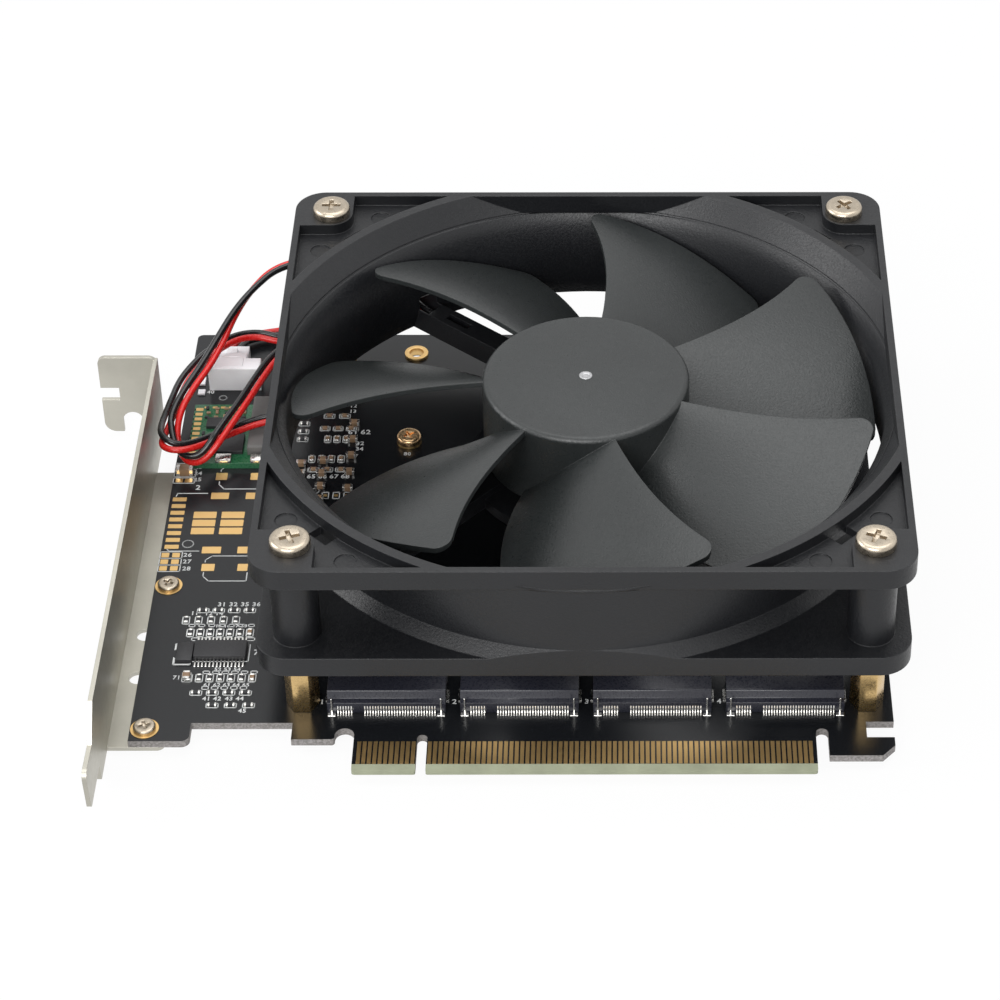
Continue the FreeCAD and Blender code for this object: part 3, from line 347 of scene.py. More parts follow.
finishes = {
    "frame_plastic": dict(colour=(0.0085, 0.009, 0.0105), roughness=0.38, grain=0.00045, bump=0.9,
                          wear=0.6, dust=0.02, specular=0.4, edge=0.0003),
    "blade_plastic": dict(colour=(0.0175, 0.020, 0.020), roughness=0.36, grain=0.00045, bump=1.0,
                          wear=0.5, dust=0.02, specular=0.5, edge=0.00025),
    "screw_steel": dict(colour=(0.45, 0.39, 0.31), roughness=0.32, metallic=1.0, grain=0.0006, bump=0.15,
                        wear=0.2, dust=0.0),
    "standoff_brass": dict(colour=(0.66, 0.46, 0.21), roughness=0.26, metallic=1.0, grain=0.0004, bump=0.1),
    "contact_gold": dict(colour=(0.70, 0.47, 0.20), roughness=0.42, metallic=1.0, grain=0.0012, bump=0.0,
                         wear=0.0, dust=0.0, spread=0.03, tone=0.08, edge=0.00001),
    "bracket_nickel": dict(colour=(0.47, 0.455, 0.40), roughness=0.42, metallic=1.0, grain=0.0012, bump=0.03,
                           wear=0.2, dust=0.0, spread=0.05, edge=0.00015),
    "motor_steel": dict(colour=(0.45, 0.45, 0.46), roughness=0.35, metallic=1.0, bump=0.1),
    "magnet_grey": dict(colour=(0.06, 0.06, 0.065), roughness=0.6, bump=0.3),
    "winding_copper": dict(colour=(0.78, 0.52, 0.28), roughness=0.32, metallic=1.0, bump=0.05,
                           dust=0.0, wear=0.1),
    "driver_green": dict(colour=(0.015, 0.13, 0.05), roughness=0.3, bump=0.15, coat=0.3, tone=0.25),
    "socket_black": dict(colour=(0.020, 0.021, 0.030), roughness=0.30, grain=0.0004, bump=0.12, dust=0.02,
                         edge=0.00012),
    "tinned_metal": dict(colour=(0.74, 0.73, 0.70), roughness=0.25, metallic=1.0, bump=0.15, dust=0.0,
                         edge=0.00004),
    "connector_white": dict(colour=(0.90, 0.88, 0.90), roughness=0.4, bump=0.08, wear=0.1, dust=0.0),
    "inductor_grey": dict(colour=(0.13, 0.125, 0.12), roughness=0.6, grain=0.0004, bump=0.5, dust=0.02),
    "chip_black": dict(colour=(0.016, 0.016, 0.018), roughness=0.5, grain=0.0003, bump=0.3, dust=0.02,
                       edge=0.00006),
    "ceramic_brown": dict(colour=(0.30, 0.19, 0.11), roughness=0.45, grain=0.0004, bump=0.15, dust=0.0,
                          edge=0.00008),
    "wire_red": dict(colour=(0.60, 0.012, 0.010), roughness=0.28, grain=0.0008, bump=0.08, wear=0.0,
                     dust=0.0, edge=0.00001),
    "wire_black": dict(colour=(0.008, 0.008, 0.009), roughness=0.24, grain=0.0008, bump=0.08, wear=0.0,
                       dust=0.0, edge=0.00001),
    "print_white": dict(colour=(0.70, 0.71, 0.70), roughness=0.6, bump=0.0, wear=0.0, dust=0.0,
                        edge=0.00001),
}


boardFinish = {
    "grain": 0.0004,
    "blotch": 0.006,
    "mask": (0.0065, 0.0072, 0.0085),  # the glossy solder mask
    "speckLift": 2.2,
    "speckSpan": (0.45, 0.75),
    "fibreSpan": (0.35, 0.65),
    "edgePale": (0.32, 0.30, 0.29),
    "edgeDeep": (0.16, 0.15, 0.14),
    "bevelTone": (0.34, 0.36, 0.25),   # bare laminate on the tongue's bevel
    "bevelShade": 0.75,
    "bevelReach": 0.00162,
    "roughness": 0.24,
    "cutRoughness": 0.5,               # added where the laminate is cut
    "specular": 0.4,
    "bump": 0.10,
    "bumpDepth": 0.00005,
}


def boardMaterial():
    material, tree, shader = newMaterial("board_blackFinish")
    grainNode = useEffect(tree, "grain", Size=boardFinish["grain"], Blotch=boardFinish["blotch"])
    sides = useEffect(tree, "sides").outputs[0]
    spot = tree.nodes.new("ShaderNodeSeparateXYZ")
    tree.links.new(tree.nodes.new("ShaderNodeTexCoord").outputs["Object"], spot.inputs[0])
    specks = remap(tree, grainNode.outputs["Height"], *boardFinish["speckSpan"])
    mask = boardFinish["mask"]
    face = mixColour(tree, specks, mask, [c * boardFinish["speckLift"] for c in mask])
    fibres = remap(tree, grainNode.outputs["Height"], *boardFinish["fibreSpan"])
    cut = mixColour(tree, fibres, boardFinish["edgeDeep"], boardFinish["edgePale"])
    edged = mixColour(tree, sides, face, cut)
    bevel = sums(tree, "LESS_THAN", spot.outputs["Y"], boardFinish["bevelReach"])
    shaded = [c * boardFinish["bevelShade"] for c in boardFinish["bevelTone"]]
    drift = remap(tree, grainNode.outputs["Tone"], *noiseSpan)
    tone = mixColour(tree, drift, boardFinish["bevelTone"], shaded)
    tree.links.new(mixColour(tree, bevel, edged, tone), shader.inputs["Base Color"])
    bare = sums(tree, "MULTIPLY", sums(tree, "MAXIMUM", sides, bevel), boardFinish["cutRoughness"])
    tree.links.new(sums(tree, "ADD", bare, boardFinish["roughness"]), shader.inputs["Roughness"])
    shader.inputs["Specular IOR Level"].default_value = boardFinish["specular"]
    bumpNode = addNode(tree, "ShaderNodeBump")
    bumpNode.inputs["Strength"].default_value = boardFinish["bump"]
    bumpNode.inputs["Distance"].default_value = boardFinish["bumpDepth"]
    tree.links.new(grainNode.outputs["Height"], bumpNode.inputs["Height"])
    tree.links.new(bumpNode.outputs[0], shader.inputs["Normal"])
    return material


materials = {name: finishMaterial(name + "Finish", **values) for name, values in finishes.items()}
materials["board_black"] = boardMaterial()
print("materials ready")


def only(*pieces):
    bpy.ops.object.select_all(action="DESELECT")
    for piece in pieces:
        piece.select_set(True)
    bpy.context.view_layer.objects.active = pieces[0]


def joined(name, pieces):
    only(*pieces)
    if len(pieces) > 1:
        bpy.ops.object.join()
    whole = bpy.context.object
    whole.name = name
    return whole


def settle(piece):  # the place goes into the mesh
    only(piece)
    bpy.ops.object.transform_apply(location=True, rotation=True, scale=True)
    return piece


def applyModifier(piece, kind, **values):
    only(piece)
    modifier = piece.modifiers.new(kind.lower(), kind)
    for key, value in values.items():
        setattr(modifier, key, value)
    bpy.ops.object.modifier_apply(modifier=modifier.name)


def roundEdges(piece, width, segments=2, limit=32):
    applyModifier(piece, "BEVEL", width=width * mm, segments=segments, limit_method="ANGLE",
                  angle_limit=math.radians(limit), use_clamp_overlap=True, harden_normals=False)


def faceOut(piece):
    only(piece)
    bpy.ops.object.mode_set(mode="EDIT")
    bpy.ops.mesh.select_all(action="SELECT")
    bpy.ops.mesh.remove_doubles(threshold=0.000001)
    bpy.ops.mesh.normals_make_consistent(inside=False)
    bpy.ops.object.mode_set(mode="OBJECT")


def place(piece, slot, body="card", material=None, smooth=30):  # smooth is in degrees
    piece.data.materials.clear()
    piece.data.materials.append(materials[material or slot])
    only(piece)
    if smooth:
        bpy.ops.object.shade_smooth_by_angle(angle=math.radians(smooth))
    else:
        bpy.ops.object.shade_flat()
    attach(piece, body)


def block(name, low, high, rounding=0.08, segments=1):
    bpy.ops.object.select_all(action="DESELECT")
    middle = [(a + b) / 2 * mm for a, b in zip(low, high)]
    bpy.ops.mesh.primitive_cube_add(size=1, location=middle)
    piece = bpy.context.object
    piece.name = name
    piece.scale = [(b - a) * mm for a, b in zip(low, high)]
    settle(piece)
    if rounding:
        roundEdges(piece, rounding, segments)
    return piece


def stamped(name, master, places):  # the same shape again at each place, given as matrices in mm
    copies = []
    for matrix in places:
        copy = bpy.data.objects.new(name, master.data.copy())
        move = matrix.copy()
        move.translation = move.translation * mm
        copy.data.transform(move)
        bpy.context.scene.collection.objects.link(copy)
        copies.append(copy)
    bpy.data.objects.remove(master)
    return joined(name, copies)


def at(x, y, z=0.0, turn=0.0, size=(1, 1, 1)):
    return (Matrix.Translation((x, y, z)) @ Matrix.Rotation(math.radians(turn), 4, "Z")
            @ Matrix.Diagonal((*size, 1)))


# the width of the rounding on each solid's outer edges, in mm; 0 where only the facets are smoothed
rounding = {
    "fan_frame": 0, "impeller": 0, "slot_bracket": 0, "bracket_screws": 0.10, "fan_screws": 0.14,
    "foot_screws": 0.12, "standoff_1": 0.10, "standoff_2": 0.10, "standoff_3": 0.10, "standoff_4": 0.10,
    "drive_socket_1": 0.08, "drive_socket_2": 0.08, "drive_socket_3": 0.08, "drive_socket_4": 0.08,
    "drive_standoffs": 0.06, "drive_screws": 0.10, "fan_header": 0.12, "fan_plug": 0.10,
    "power_inductors": 0.12, "clock_chip": 0.06, "crystal": 0.16, "ceramic_capacitors": 0.08,
    "chip_resistors": 0.05,
}
otherSlots = {"crystal": "chip_black"}
softening = {"merge": 0.000002, "flatWithin": 0.6, "smoothWithin": 38}  # metres, degrees, degrees


def softenedCopy(node, width):
    first, *others = node.split("_")
    name = first + "".join(word.capitalize() for word in others) + "Soft"
    piece = bpy.data.objects.new(name, nodes[node].data.copy())
    bpy.context.scene.collection.objects.link(piece)
    only(piece)
    bpy.ops.object.mode_set(mode="EDIT")
    bpy.ops.mesh.select_all(action="SELECT")
    bpy.ops.mesh.remove_doubles(threshold=softening["merge"])
    if width:
        bpy.ops.mesh.dissolve_limited(angle_limit=math.radians(softening["flatWithin"]))
    bpy.ops.object.mode_set(mode="OBJECT")
    if piece.data.has_custom_normals:  # they would smear over the merged edges
        bpy.ops.mesh.customdata_custom_splitnormals_clear()
    if width:
        roundEdges(piece, width)
    slot = otherSlots.get(node, slotOf[node])
    place(piece, slot, "rotor" if node in rotorNodes else "card", smooth=softening["smoothWithin"])
    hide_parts(node)
    print(node, "rounded,", len(piece.data.polygons), "faces")


def dressNodes():
    for node, slot in slotOf.items():
        if node not in rounding:
            nodes[node].data.materials.clear()
            nodes[node].data.materials.append(materials[slot])
    for slot, wire in leads.items():
        wire.data.materials.append(materials[slot])
    for node, width in rounding.items():
        softenedCopy(node, width)


# gold pads with nothing on them: x and y of two corners, in mm
pads = {
    "height": 0.035,
    "corner": 0.12,
    "rects": (
        [(-53.6, 62.2 + 2.1 * k, -50.8, 63.4 + 2.1 * k) for k in range(8)]
        + [(x, y, x + 4.6, y + 2.0) for x in (-48.9, -43.3) for y in (66.65, 69.1, 71.6)]
        + [(-46.0, 77.6, -42.4, 79.6), (-39.0, 77.6, -36.95, 79.6)]
        + [(-46.1, 60.8, -42.35, 62.8), (-39.1, 60.8, -37.1, 62.8)]
        + [(-45.65, 83.7, -43.3, 85.9), (-38.6, 83.7, -37.0, 85.9)]
        + [(-45.66, 55.5, -43.1, 57.6), (-38.6, 55.5, -36.6, 57.6)]
        + [(x, y, x + 1.5, y + 1.35) for x in (-53.9, -51.8) for y in (55.6, 57.6, 59.6)]
        + [(x, y, x + 1.5, y + 1.2) for x in (-53.7, -51.8) for y in (82.9, 87.6)]
        + [(x, 78.4, x + 0.8, 79.1) for x in (-23.4, -21.2, -19.0)]
    ),
}


def makePads():
    plates = []
    for left, front, right, back in pads["rects"]:
        middle = ((left + right) / 2 * mm, (front + back) / 2 * mm, 0)
        bpy.ops.object.select_all(action="DESELECT")
        bpy.ops.mesh.primitive_plane_add(size=1, location=middle)
        plate = bpy.context.object
        plate.scale = ((right - left) * mm, (back - front) * mm, 1)
        plates.append(settle(plate))
    piece = joined("bareGoldPads", plates)
    bpy.ops.object.mode_set(mode="EDIT")
    bpy.ops.mesh.select_all(action="SELECT")
    bpy.ops.mesh.bevel(offset=pads["corner"] * mm, segments=2, affect="VERTICES")
    bpy.ops.mesh.select_all(action="SELECT")
    bpy.ops.mesh.extrude_region_move(TRANSFORM_OT_translate={"value": (0, 0, pads["height"] * mm)})
    bpy.ops.object.mode_set(mode="OBJECT")
    faceOut(piece)
    place(piece, "contact_gold")


sockets = {
    "first": -6.95,
    "pitch": 24.7,
    "count": 4,
    "front": 15.2,
    "leadPitch": 0.5,
    "leads": 37,
    "keyGap": (6, 7, 8, 9),  # no contacts behind the key
    "leadWidth": 0.22,
    "leadThickness": 0.10,
    "leadPath": [(0.95, 2.55), (0.30, 2.35), (-0.12, 1.2), (-0.20, 0.12), (-0.95, 0.06)],  # y, z
    "earOffset": 10.15,
    "earPost": ((-0.14, -0.28, 0.0), (0.14, 0.02, 3.7)),
    "earFoot": ((-0.75, -1.05, 0.0), (0.75, -0.1, 0.16)),
    "rounding": 0.05,
}


# white print on the board: lines as chains of points, and plain numbers
printed = {
    "height": 0.03,
    "stroke": 0.2,
    "lines": [
        [(-53.0, 78.5), (-52.8, 79.4), (-46.8, 79.4)],
        [(-53.0, 62.0), (-52.6, 61.5), (-46.7, 61.5)],
        [(-44.75, 83.1), (-44.75, 82.2), (-43.6, 80.8), (-36.75, 80.8), (-36.75, 83.1)],
        [(-44.75, 86.5), (-44.75, 87.0), (-43.6, 88.2), (-36.75, 88.2), (-36.75, 86.5)],
        [(-45.1, 55.0), (-45.1, 53.9), (-43.9, 52.5), (-36.55, 52.5), (-36.55, 55.0)],
        [(-45.1, 58.2), (-45.1, 58.8), (-43.9, 60.0), (-36.55, 60.0), (-36.55, 58.2)],
        [(-45.0, 31.2), (-45.0, 29.3), (-34.0, 29.3), (-34.0, 34.0)],
        [(-45.0, 33.9), (-45.0, 32.4)],
        [(-48.2, 32.6), (-48.2, 34.4), (-44.9, 34.4), (-44.9, 32.6)],
        [(-48.0, 32.8), (-48.0, 34.2), (-45.1, 34.2)],
        [(-48.2, 30.4), (-48.2, 28.4), (-44.9, 28.4), (-44.9, 30.4)],
        [(-48.0, 30.2), (-48.0, 28.6), (-45.1, 28.6)],
    ],
    # x and y of the middle of a small part's outline, its length and width, how many, and the steps
    "outlines": [
        (-52.0, 56.3, 4.3, 1.9, 3, 0, 2.0),
        (-52.0, 83.5, 4.3, 1.7, 2, 0, 4.7), (-52.0, 85.85, 4.3, 2.3, 1, 0, 0),
        (-45.8, 37.4, 1.3, 2.2, 7, 1.9, 0), (-47.0, 41.0, 1.3, 2.1, 5, 2.4, 0),
        (-44.0, 43.8, 2.2, 1.2, 4, 3.0, 0), (-44.6, 35.6, 1.5, 0.8, 6, 2.1, 0),
        (-45.7, 39.5, 1.1, 0.7, 7, 1.9, 0), (-44.8, 24.7, 1.3, 2.1, 7, 2.0, 0),
        (-43.0, 20.6, 2.2, 1.2, 4, 3.1, 0), (-39.6, 17.2, 2.2, 1.2, 3, 3.4, 0),
        (-41.4, 22.0, 1.2, 0.8, 5, 1.8, 0), (-41.6, 26.3, 1.2, 0.7, 6, 1.8, 0),
        (-29.0, 96.8, 2.2, 1.3, 4, 0, 2.6), (-23.8, 96.9, 1.3, 2.1, 3, 1.9, 0),
        (-26.6, 90.4, 1.3, 2.1, 4, 2.0, 0), (-26.0, 86.9, 2.2, 1.3, 3, 2.8, 0),
        (-24.6, 100.4, 2.0, 1.3, 3, 2.7, 0), (-24.0, 104.6, 2.2, 1.3, 2, 3.2, 0),
        (-23.0, 78.7, 1.3, 2.0, 3, 2.2, 0), (-45.2, 25.0, 1.6, 2.6, 1, 0, 0),
    ],
    "rings": [(-49.06, 63.67, 1.1), (-25.1, 80.2, 0.8), (-46.75, 110.9, 0.75)],
    # text, x and y of its start, height of the figures
    "numbers": [
        ("23", -50.3, 87.3, 1.1), ("24", -50.2, 85.3, 1.1), ("25", -50.1, 83.3, 1.1),
        ("2", -49.4, 80.6, 1.4), ("26", -49.6, 59.8, 1.1), ("27", -49.5, 57.8, 1.1),
        ("28", -49.4, 55.7, 1.1), ("40", -50.3, 112.4, 1.0), ("31 32 35 36 37", -41.4, 45.1, 1.1),
        ("11", -46.3, 42.6, 1.0), ("12 14", -43.6, 42.5, 1.0), ("15 16 17 18", -41.2, 39.0, 0.8),
        ("7", -33.2, 31.2, 1.4), ("52 53 54", -40.2, 26.7, 0.9), ("71", -47.8, 24.4, 1.0),
        ("61 62 63 64 65", -41.8, 22.4, 0.9), ("41 42", -41.6, 18.6, 1.0), ("43 44", -37.4, 18.6, 1.0),
        ("45", -34.6, 15.3, 1.0), ("12", -20.0, 107.6, 1.0), ("13", -20.0, 105.8, 1.0),
        ("61", -19.8, 98.6, 1.4), ("62", -17.2, 98.6, 1.4), ("32", -17.9, 95.0, 1.1),
        ("34", -17.9, 93.2, 1.1), ("47", -18.9, 90.8, 1.1), ("65", -27.2, 84.2, 1.2),
        ("66", -24.9, 84.2, 1.2), ("67", -22.6, 84.2, 1.2), ("68", -20.3, 84.2, 1.2),
        ("51", -16.8, 78.6, 1.0),
    ],
    "driveRows": [("110", -8.6, 121.6, 1.0), ("80", -7.9, 91.6, 1.0)],  # again at each drive
    "driveNumber": (-19.6, 17.6, 1.2),
    "textScale": 1.45,
    "textSpacing": 1.08,
    "textWeight": 0.03,
    "ringSteps": 16,
}


def strokeBetween(first, last):
    run = Vector((last[0] - first[0], last[1] - first[1]))
    middle = ((first[0] + last[0]) / 2, (first[1] + last[1]) / 2)
    turn = math.degrees(math.atan2(run.y, run.x))
    return at(*middle, 0, turn, (run.length + printed["stroke"], printed["stroke"], 1))


def printedChains():
    yield from printed["lines"]
    for x, y, length, width, count, stepX, stepY in printed["outlines"]:
        for index in range(count):
            middleX, middleY = x + index * stepX, y + index * stepY
            yield [(middleX + sx * length / 2, middleY + sy * width / 2)
                   for sx, sy in ((-1, -1), (1, -1), (1, 1), (-1, 1), (-1, -1))]
    for x, y, radius in printed["rings"]:
        steps = printed["ringSteps"]
        angles = [math.tau * step / steps for step in range(steps + 1)]
        yield [(x + radius * math.cos(angle), y + radius * math.sin(angle)) for angle in angles]


def printedTexts():
    yield from printed["numbers"]
    for drive in range(sockets["count"]):
        aside = sockets["pitch"] * drive
        for text, x, y, height in printed["driveRows"]:
            yield text, x + aside, y, height
        x, y, height = printed["driveNumber"]
        yield str(drive + 1), x + aside, y, height


def makePrintedLines():
    strokes = []
    for chain in printedChains():
        strokes += [strokeBetween(a, b) for a, b in zip(chain, chain[1:])]
    bpy.ops.object.select_all(action="DESELECT")
    bpy.ops.mesh.primitive_plane_add(size=mm, location=(0, 0, 0))
    bar = bpy.context.object
    bpy.ops.object.mode_set(mode="EDIT")
    bpy.ops.mesh.select_all(action="SELECT")
    bpy.ops.mesh.extrude_region_move(TRANSFORM_OT_translate={"value": (0, 0, printed["height"] * mm)})
    bpy.ops.object.mode_set(mode="OBJECT")
    faceOut(bar)
    lines = stamped("printedLines", bar, strokes)
    place(lines, "connector_white", material="print_white", smooth=0)


def makePrintedNumbers():
    figures = []
    for text, x, y, height in printedTexts():
        bpy.ops.object.select_all(action="DESELECT")
        bpy.ops.object.text_add(location=(0, 0, 0))
        figure = bpy.context.object
        figure.data.body = text
        figure.data.size = height * mm * printed["textScale"]
        figure.data.space_character = printed["textSpacing"]
        figure.data.offset = printed["textWeight"] * mm
        figure.data.extrude = printed["height"] / 2 * mm
        figure.data.resolution_u = 2
        bpy.ops.object.convert(target="MESH")
        figure = bpy.context.object
        figure.location = (x * mm, y * mm, printed["height"] / 2 * mm)
        figures.append(settle(figure))
    place(joined("printedNumbers", figures), "connector_white", material="print_white", smooth=0)


# small parts in rows: x and y of the first corner, length, width, height, count, step in x, step in y
smallParts = {
    "resistors": [
        (-46.2, 36.6, 0.8, 1.6, 0.45, 6, 1.9, 0), (-47.4, 40.2, 0.8, 1.6, 0.45, 5, 2.4, 0),
        (-44.8, 43.4, 1.6, 0.8, 0.45, 4, 3.0, 0), (-45.2, 23.9, 0.8, 1.6, 0.45, 6, 2.0, 0),
        (-43.8, 20.2, 1.6, 0.8, 0.45, 4, 3.1, 0), (-40.4, 16.8, 1.6, 0.8, 0.45, 3, 3.4, 0),
        (-29.8, 96.4, 1.6, 0.8, 0.45, 4, 0, 2.6),
    ],
    "capacitors": [
        (-53.7, 84.9, 3.4, 1.9, 1.7, 1, 0, 0), (-29.6, 75.0, 2.0, 1.2, 1.1, 5, 0, 3.2),
        (-25.2, 76.5, 2.0, 1.2, 1.1, 4, 0, 4.1), (-19.6, 74.6, 2.0, 1.2, 1.1, 6, 0, 5.3),
    ],
    "extra": [
        (-24.2, 96.1, 0.8, 1.6, 0.5, 3, 1.9, 0), (-27.0, 89.6, 0.8, 1.6, 0.5, 4, 2.0, 0),
        (-26.8, 86.5, 1.6, 0.8, 0.5, 3, 2.8, 0), (-25.4, 100.0, 1.6, 0.8, 0.5, 3, 2.7, 0),
        (-24.8, 104.2, 1.6, 0.8, 0.5, 2, 3.2, 0), (-34.8, 36.6, 0.8, 1.6, 0.5, 1, 0, 0),
        (-45.9, 24.0, 1.4, 2.0, 0.8, 1, 0, 0), (-33.2, 23.9, 0.8, 1.6, 0.5, 1, 0, 0),
    ],
    "cap": 0.02,       # how far the tinned ends stand proud of the body
    "capReach": 0.24,  # of the body's longer side
    "rounding": 0.09,
}


def rowPlaces(rows):
    for x, y, length, width, height, count, stepX, stepY in rows:
        for index in range(count):
            yield x + index * stepX, y + index * stepY, length, width, height


def unitBlock(name, rounding):
    return block(name, (0, 0, 0), (1, 1, 1), rounding)


def makeTinnedEnds():
    proud = smallParts["cap"]
    rows = smallParts["resistors"] + smallParts["capacitors"] + smallParts["extra"]
    places = []
    for x, y, length, width, height in rowPlaces(rows):
        lengthwise = 0 if length > width else 1
        span = Vector((length + 2 * proud, width + 2 * proud, height + proud))
        reach = smallParts["capReach"] * max(length, width)
        far = Vector((0, 0, 0))
        far[lengthwise] = span[lengthwise] - reach
        span[lengthwise] = reach
        low = Vector((x - proud, y - proud, 0))
        places += [at(*start, 0, span) for start in (low, low + far)]
    master = unitBlock("tinnedEnds", smallParts["rounding"])
    place(stamped("tinnedEnds", master, places), "tinned_metal")


def makeSmallChips():
    bodies = [at(x, y, 0, 0, (length, width, height))
              for x, y, length, width, height in rowPlaces(smallParts["extra"])]
    master = unitBlock("smallChips", smallParts["rounding"])
    place(stamped("smallChips", master, bodies), "ceramic_brown")


def makeSocketLeads():
    path = sockets["leadPath"]
    half = sockets["leadWidth"] / 2
    close = 1e-7
    bpy.ops.object.select_all(action="DESELECT")
    bpy.ops.mesh.primitive_plane_add(size=1, location=(0, 0, 0))
    lead = bpy.context.object
    mesh = lead.data
    near, far = path[0], path[1]
    for vertex in mesh.vertices:  # the first length of the strip
        y, z = near if vertex.co.y < 0 else far
        vertex.co = (half * mm * (1 if vertex.co.x > 0 else -1), y * mm, z * mm)
    for before, after in zip(path[1:], path[2:]):
        bpy.ops.object.mode_set(mode="EDIT")
        bpy.ops.mesh.select_mode(type="VERT")
        bpy.ops.mesh.select_all(action="DESELECT")
        bpy.ops.object.mode_set(mode="OBJECT")
        last = Vector((0, *before)) * mm
        step = Vector((0, *after)) * mm - last
        for vertex in mesh.vertices:
            vertex.select = abs(vertex.co.y - last.y) < close and abs(vertex.co.z - last.z) < close
        bpy.ops.object.mode_set(mode="EDIT")
        bpy.ops.mesh.select_mode(type="EDGE")
        bpy.ops.mesh.extrude_region_move(TRANSFORM_OT_translate={"value": step})
        bpy.ops.object.mode_set(mode="OBJECT")
    applyModifier(lead, "SOLIDIFY", thickness=sockets["leadThickness"] * mm, offset=0.0)
    faceOut(lead)
    places = []
    for index in range(sockets["count"]):
        middle = sockets["first"] + sockets["pitch"] * index
        for count in range(sockets["leads"]):
            if count not in sockets["keyGap"]:
                offset = (count - (sockets["leads"] - 1) / 2) * sockets["leadPitch"]
                places.append(at(middle + offset, sockets["front"], 0))
    place(stamped("socketLeads", lead, places), "tinned_metal", smooth=0)


def makeSocketEars():
    post = block("socketEars", *sockets["earPost"], sockets["rounding"])
    foot = block("earFoot", *sockets["earFoot"], sockets["rounding"])
    ear = joined("socketEars", [post, foot])
    middles = [sockets["first"] + sockets["pitch"] * index for index in range(sockets["count"])]
    places = [at(middle + side * sockets["earOffset"], sockets["front"], 0)
              for middle in middles for side in (-1, 1)]
    place(stamped("socketEars", ear, places), "tinned_metal")


# places are in mm: x and y of a part's first corner, its length and width, and its height where given
module = {
    "chips": [(-47.4, 90.2, 6.8, 5.8, 0.9), (-48.9, 98.6, 3.0, 3.0, 0.8), (-43.3, 98.2, 2.4, 3.2, 0.8)],
    "chipRounding": 0.07,
    "terminals": [(-46.0, 87.3, 3.3, 2.3), (-38.9, 87.3, 2.6, 2.3)],
    "terminalSpan": (-0.05, 0.9),  # from the board's top
    "terminalRounding": 0.3,
    "sidePad": (1.5, 0.95, 0.06),
    "sidePads": 11,
    "sidePitch": 1.6,
    "sideStart": (0.35, 1.25),  # in from the board's near left corner
    "backPad": (1.0, 0.6, 0.06),
    "backPads": 5,
    "backPitch": 1.7,
    "backStart": (2.0, 1.3),    # in from its far left corner
    "rounding": 0.1,
    "passives": {"first": (-49.6, 96.4), "step": (1.9, 1.42), "shift": 0.25, "columns": 5, "rows": 7,
                 "lying": (0.9, 0.55, 0.4), "standing": (0.6, 1.0, 0.45), "room": (0.9, 0.2)},
}


def makeModuleChips():
    top = boxOf("power_board")[1].z
    chips = [block("moduleChip", (x, y, top), (x + length, y + width, top + height), module["chipRounding"])
             for x, y, length, width, height in module["chips"]]
    chips = joined("moduleChips", chips)
    place(chips, "chip_black")
    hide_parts("power_chips")


def makeModulePads():
    low, high = boxOf("power_board")
    x, y = low.x + module["sideStart"][0], low.y + module["sideStart"][1]
    places = [at(x, y + module["sidePitch"] * index, high.z, 0, module["sidePad"])
              for index in range(module["sidePads"])]
    x, y = low.x + module["backStart"][0], high.y - module["backStart"][1]
    places += [at(x + module["backPitch"] * index, y, high.z, 0, module["backPad"])
               for index in range(module["backPads"])]
    master = unitBlock("modulePads", module["rounding"])
    place(stamped("modulePads", master, places), "contact_gold")


def nearChip(x, y):
    before, after = module["passives"]["room"]
    return any(left - before < x < left + length + after and front - before < y < front + width + after
               for left, front, length, width, height in module["chips"])


def makeModulePassives():
    passives = module["passives"]
    top = boxOf("power_board")[1].z
    places = {"pale": [], "dark": []}
    for row in range(passives["rows"]):
        for column in range(passives["columns"]):
            x = passives["first"][0] + passives["step"][0] * column + passives["shift"] * (row % 2)
            y = passives["first"][1] + passives["step"][1] * row
            if nearChip(x, y):
                continue
            size = passives["lying"] if (row + column) % 3 else passives["standing"]
            tone = "dark" if (row * 2 + column) % 4 == 0 else "pale"
            places[tone].append(at(x, y, top, 0, size))
    for name, tone, slot in (("modulePassives", "pale", "ceramic_brown"),
                             ("moduleDarkParts", "dark", "chip_black")):
        master = unitBlock(name, module["rounding"])
        place(stamped(name, master, places[tone]), slot)


def makeModuleTerminals():
    low, high = [boxOf("power_board")[1].z + offset for offset in module["terminalSpan"]]
    ends = [block("moduleTerminal", (x, y, low), (x + length, y + width, high), module["terminalRounding"], 2)
            for x, y, length, width in module["terminals"]]
    place(joined("moduleTerminals", ends), "tinned_metal")


clockLeads = {"first": -44.17, "pitch": 0.7, "count": 14, "rows": (27.7, 34.1),
              "size": (0.34, 1.9, 0.24), "rounding": 0.05}


def makeClockLeads():
    master = block("clockLeads", (0, 0, 0), clockLeads["size"], clockLeads["rounding"])
    places = [at(clockLeads["first"] + clockLeads["pitch"] * index, y)
              for y in clockLeads["rows"] for index in range(clockLeads["count"])]
    piece = stamped("clockLeads", master, places)
    place(piece, "tinned_metal")
    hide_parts("chip_leads")


# the lid line and rib on top of the header, and the tabs beside its foot: two corners and a rounding
headerParts = {
    "headerLid": [((-48.7, 114.1, 5.66), (-42.6, 117.1, 5.80), 0.06),
                  ((-48.2, 117.6, 5.66), (-43.4, 118.1, 5.78), 0.05)],
    "headerTabs": [((-52.1, 111.7, 0.0), (-50.6, 113.3, 0.5), 0.08),
                   ((-52.4, 115.0, 0.0), (-50.9, 117.6, 0.5), 0.08)],
}


def makeHeaderParts():
    for name, blocks in headerParts.items():
        pieces = [block(name, low, high, rounded) for low, high, rounded in blocks]
        place(joined(name, pieces), "connector_white")


# a band that carries the inlet's slope from the upper flange down to the duct
inletBand = {"low": 33.75, "high": 35.35, "lowRadius": 59.80, "highRadius": 61.035, "wall": 0.35,
             "half": 60.0, "sides": 144}


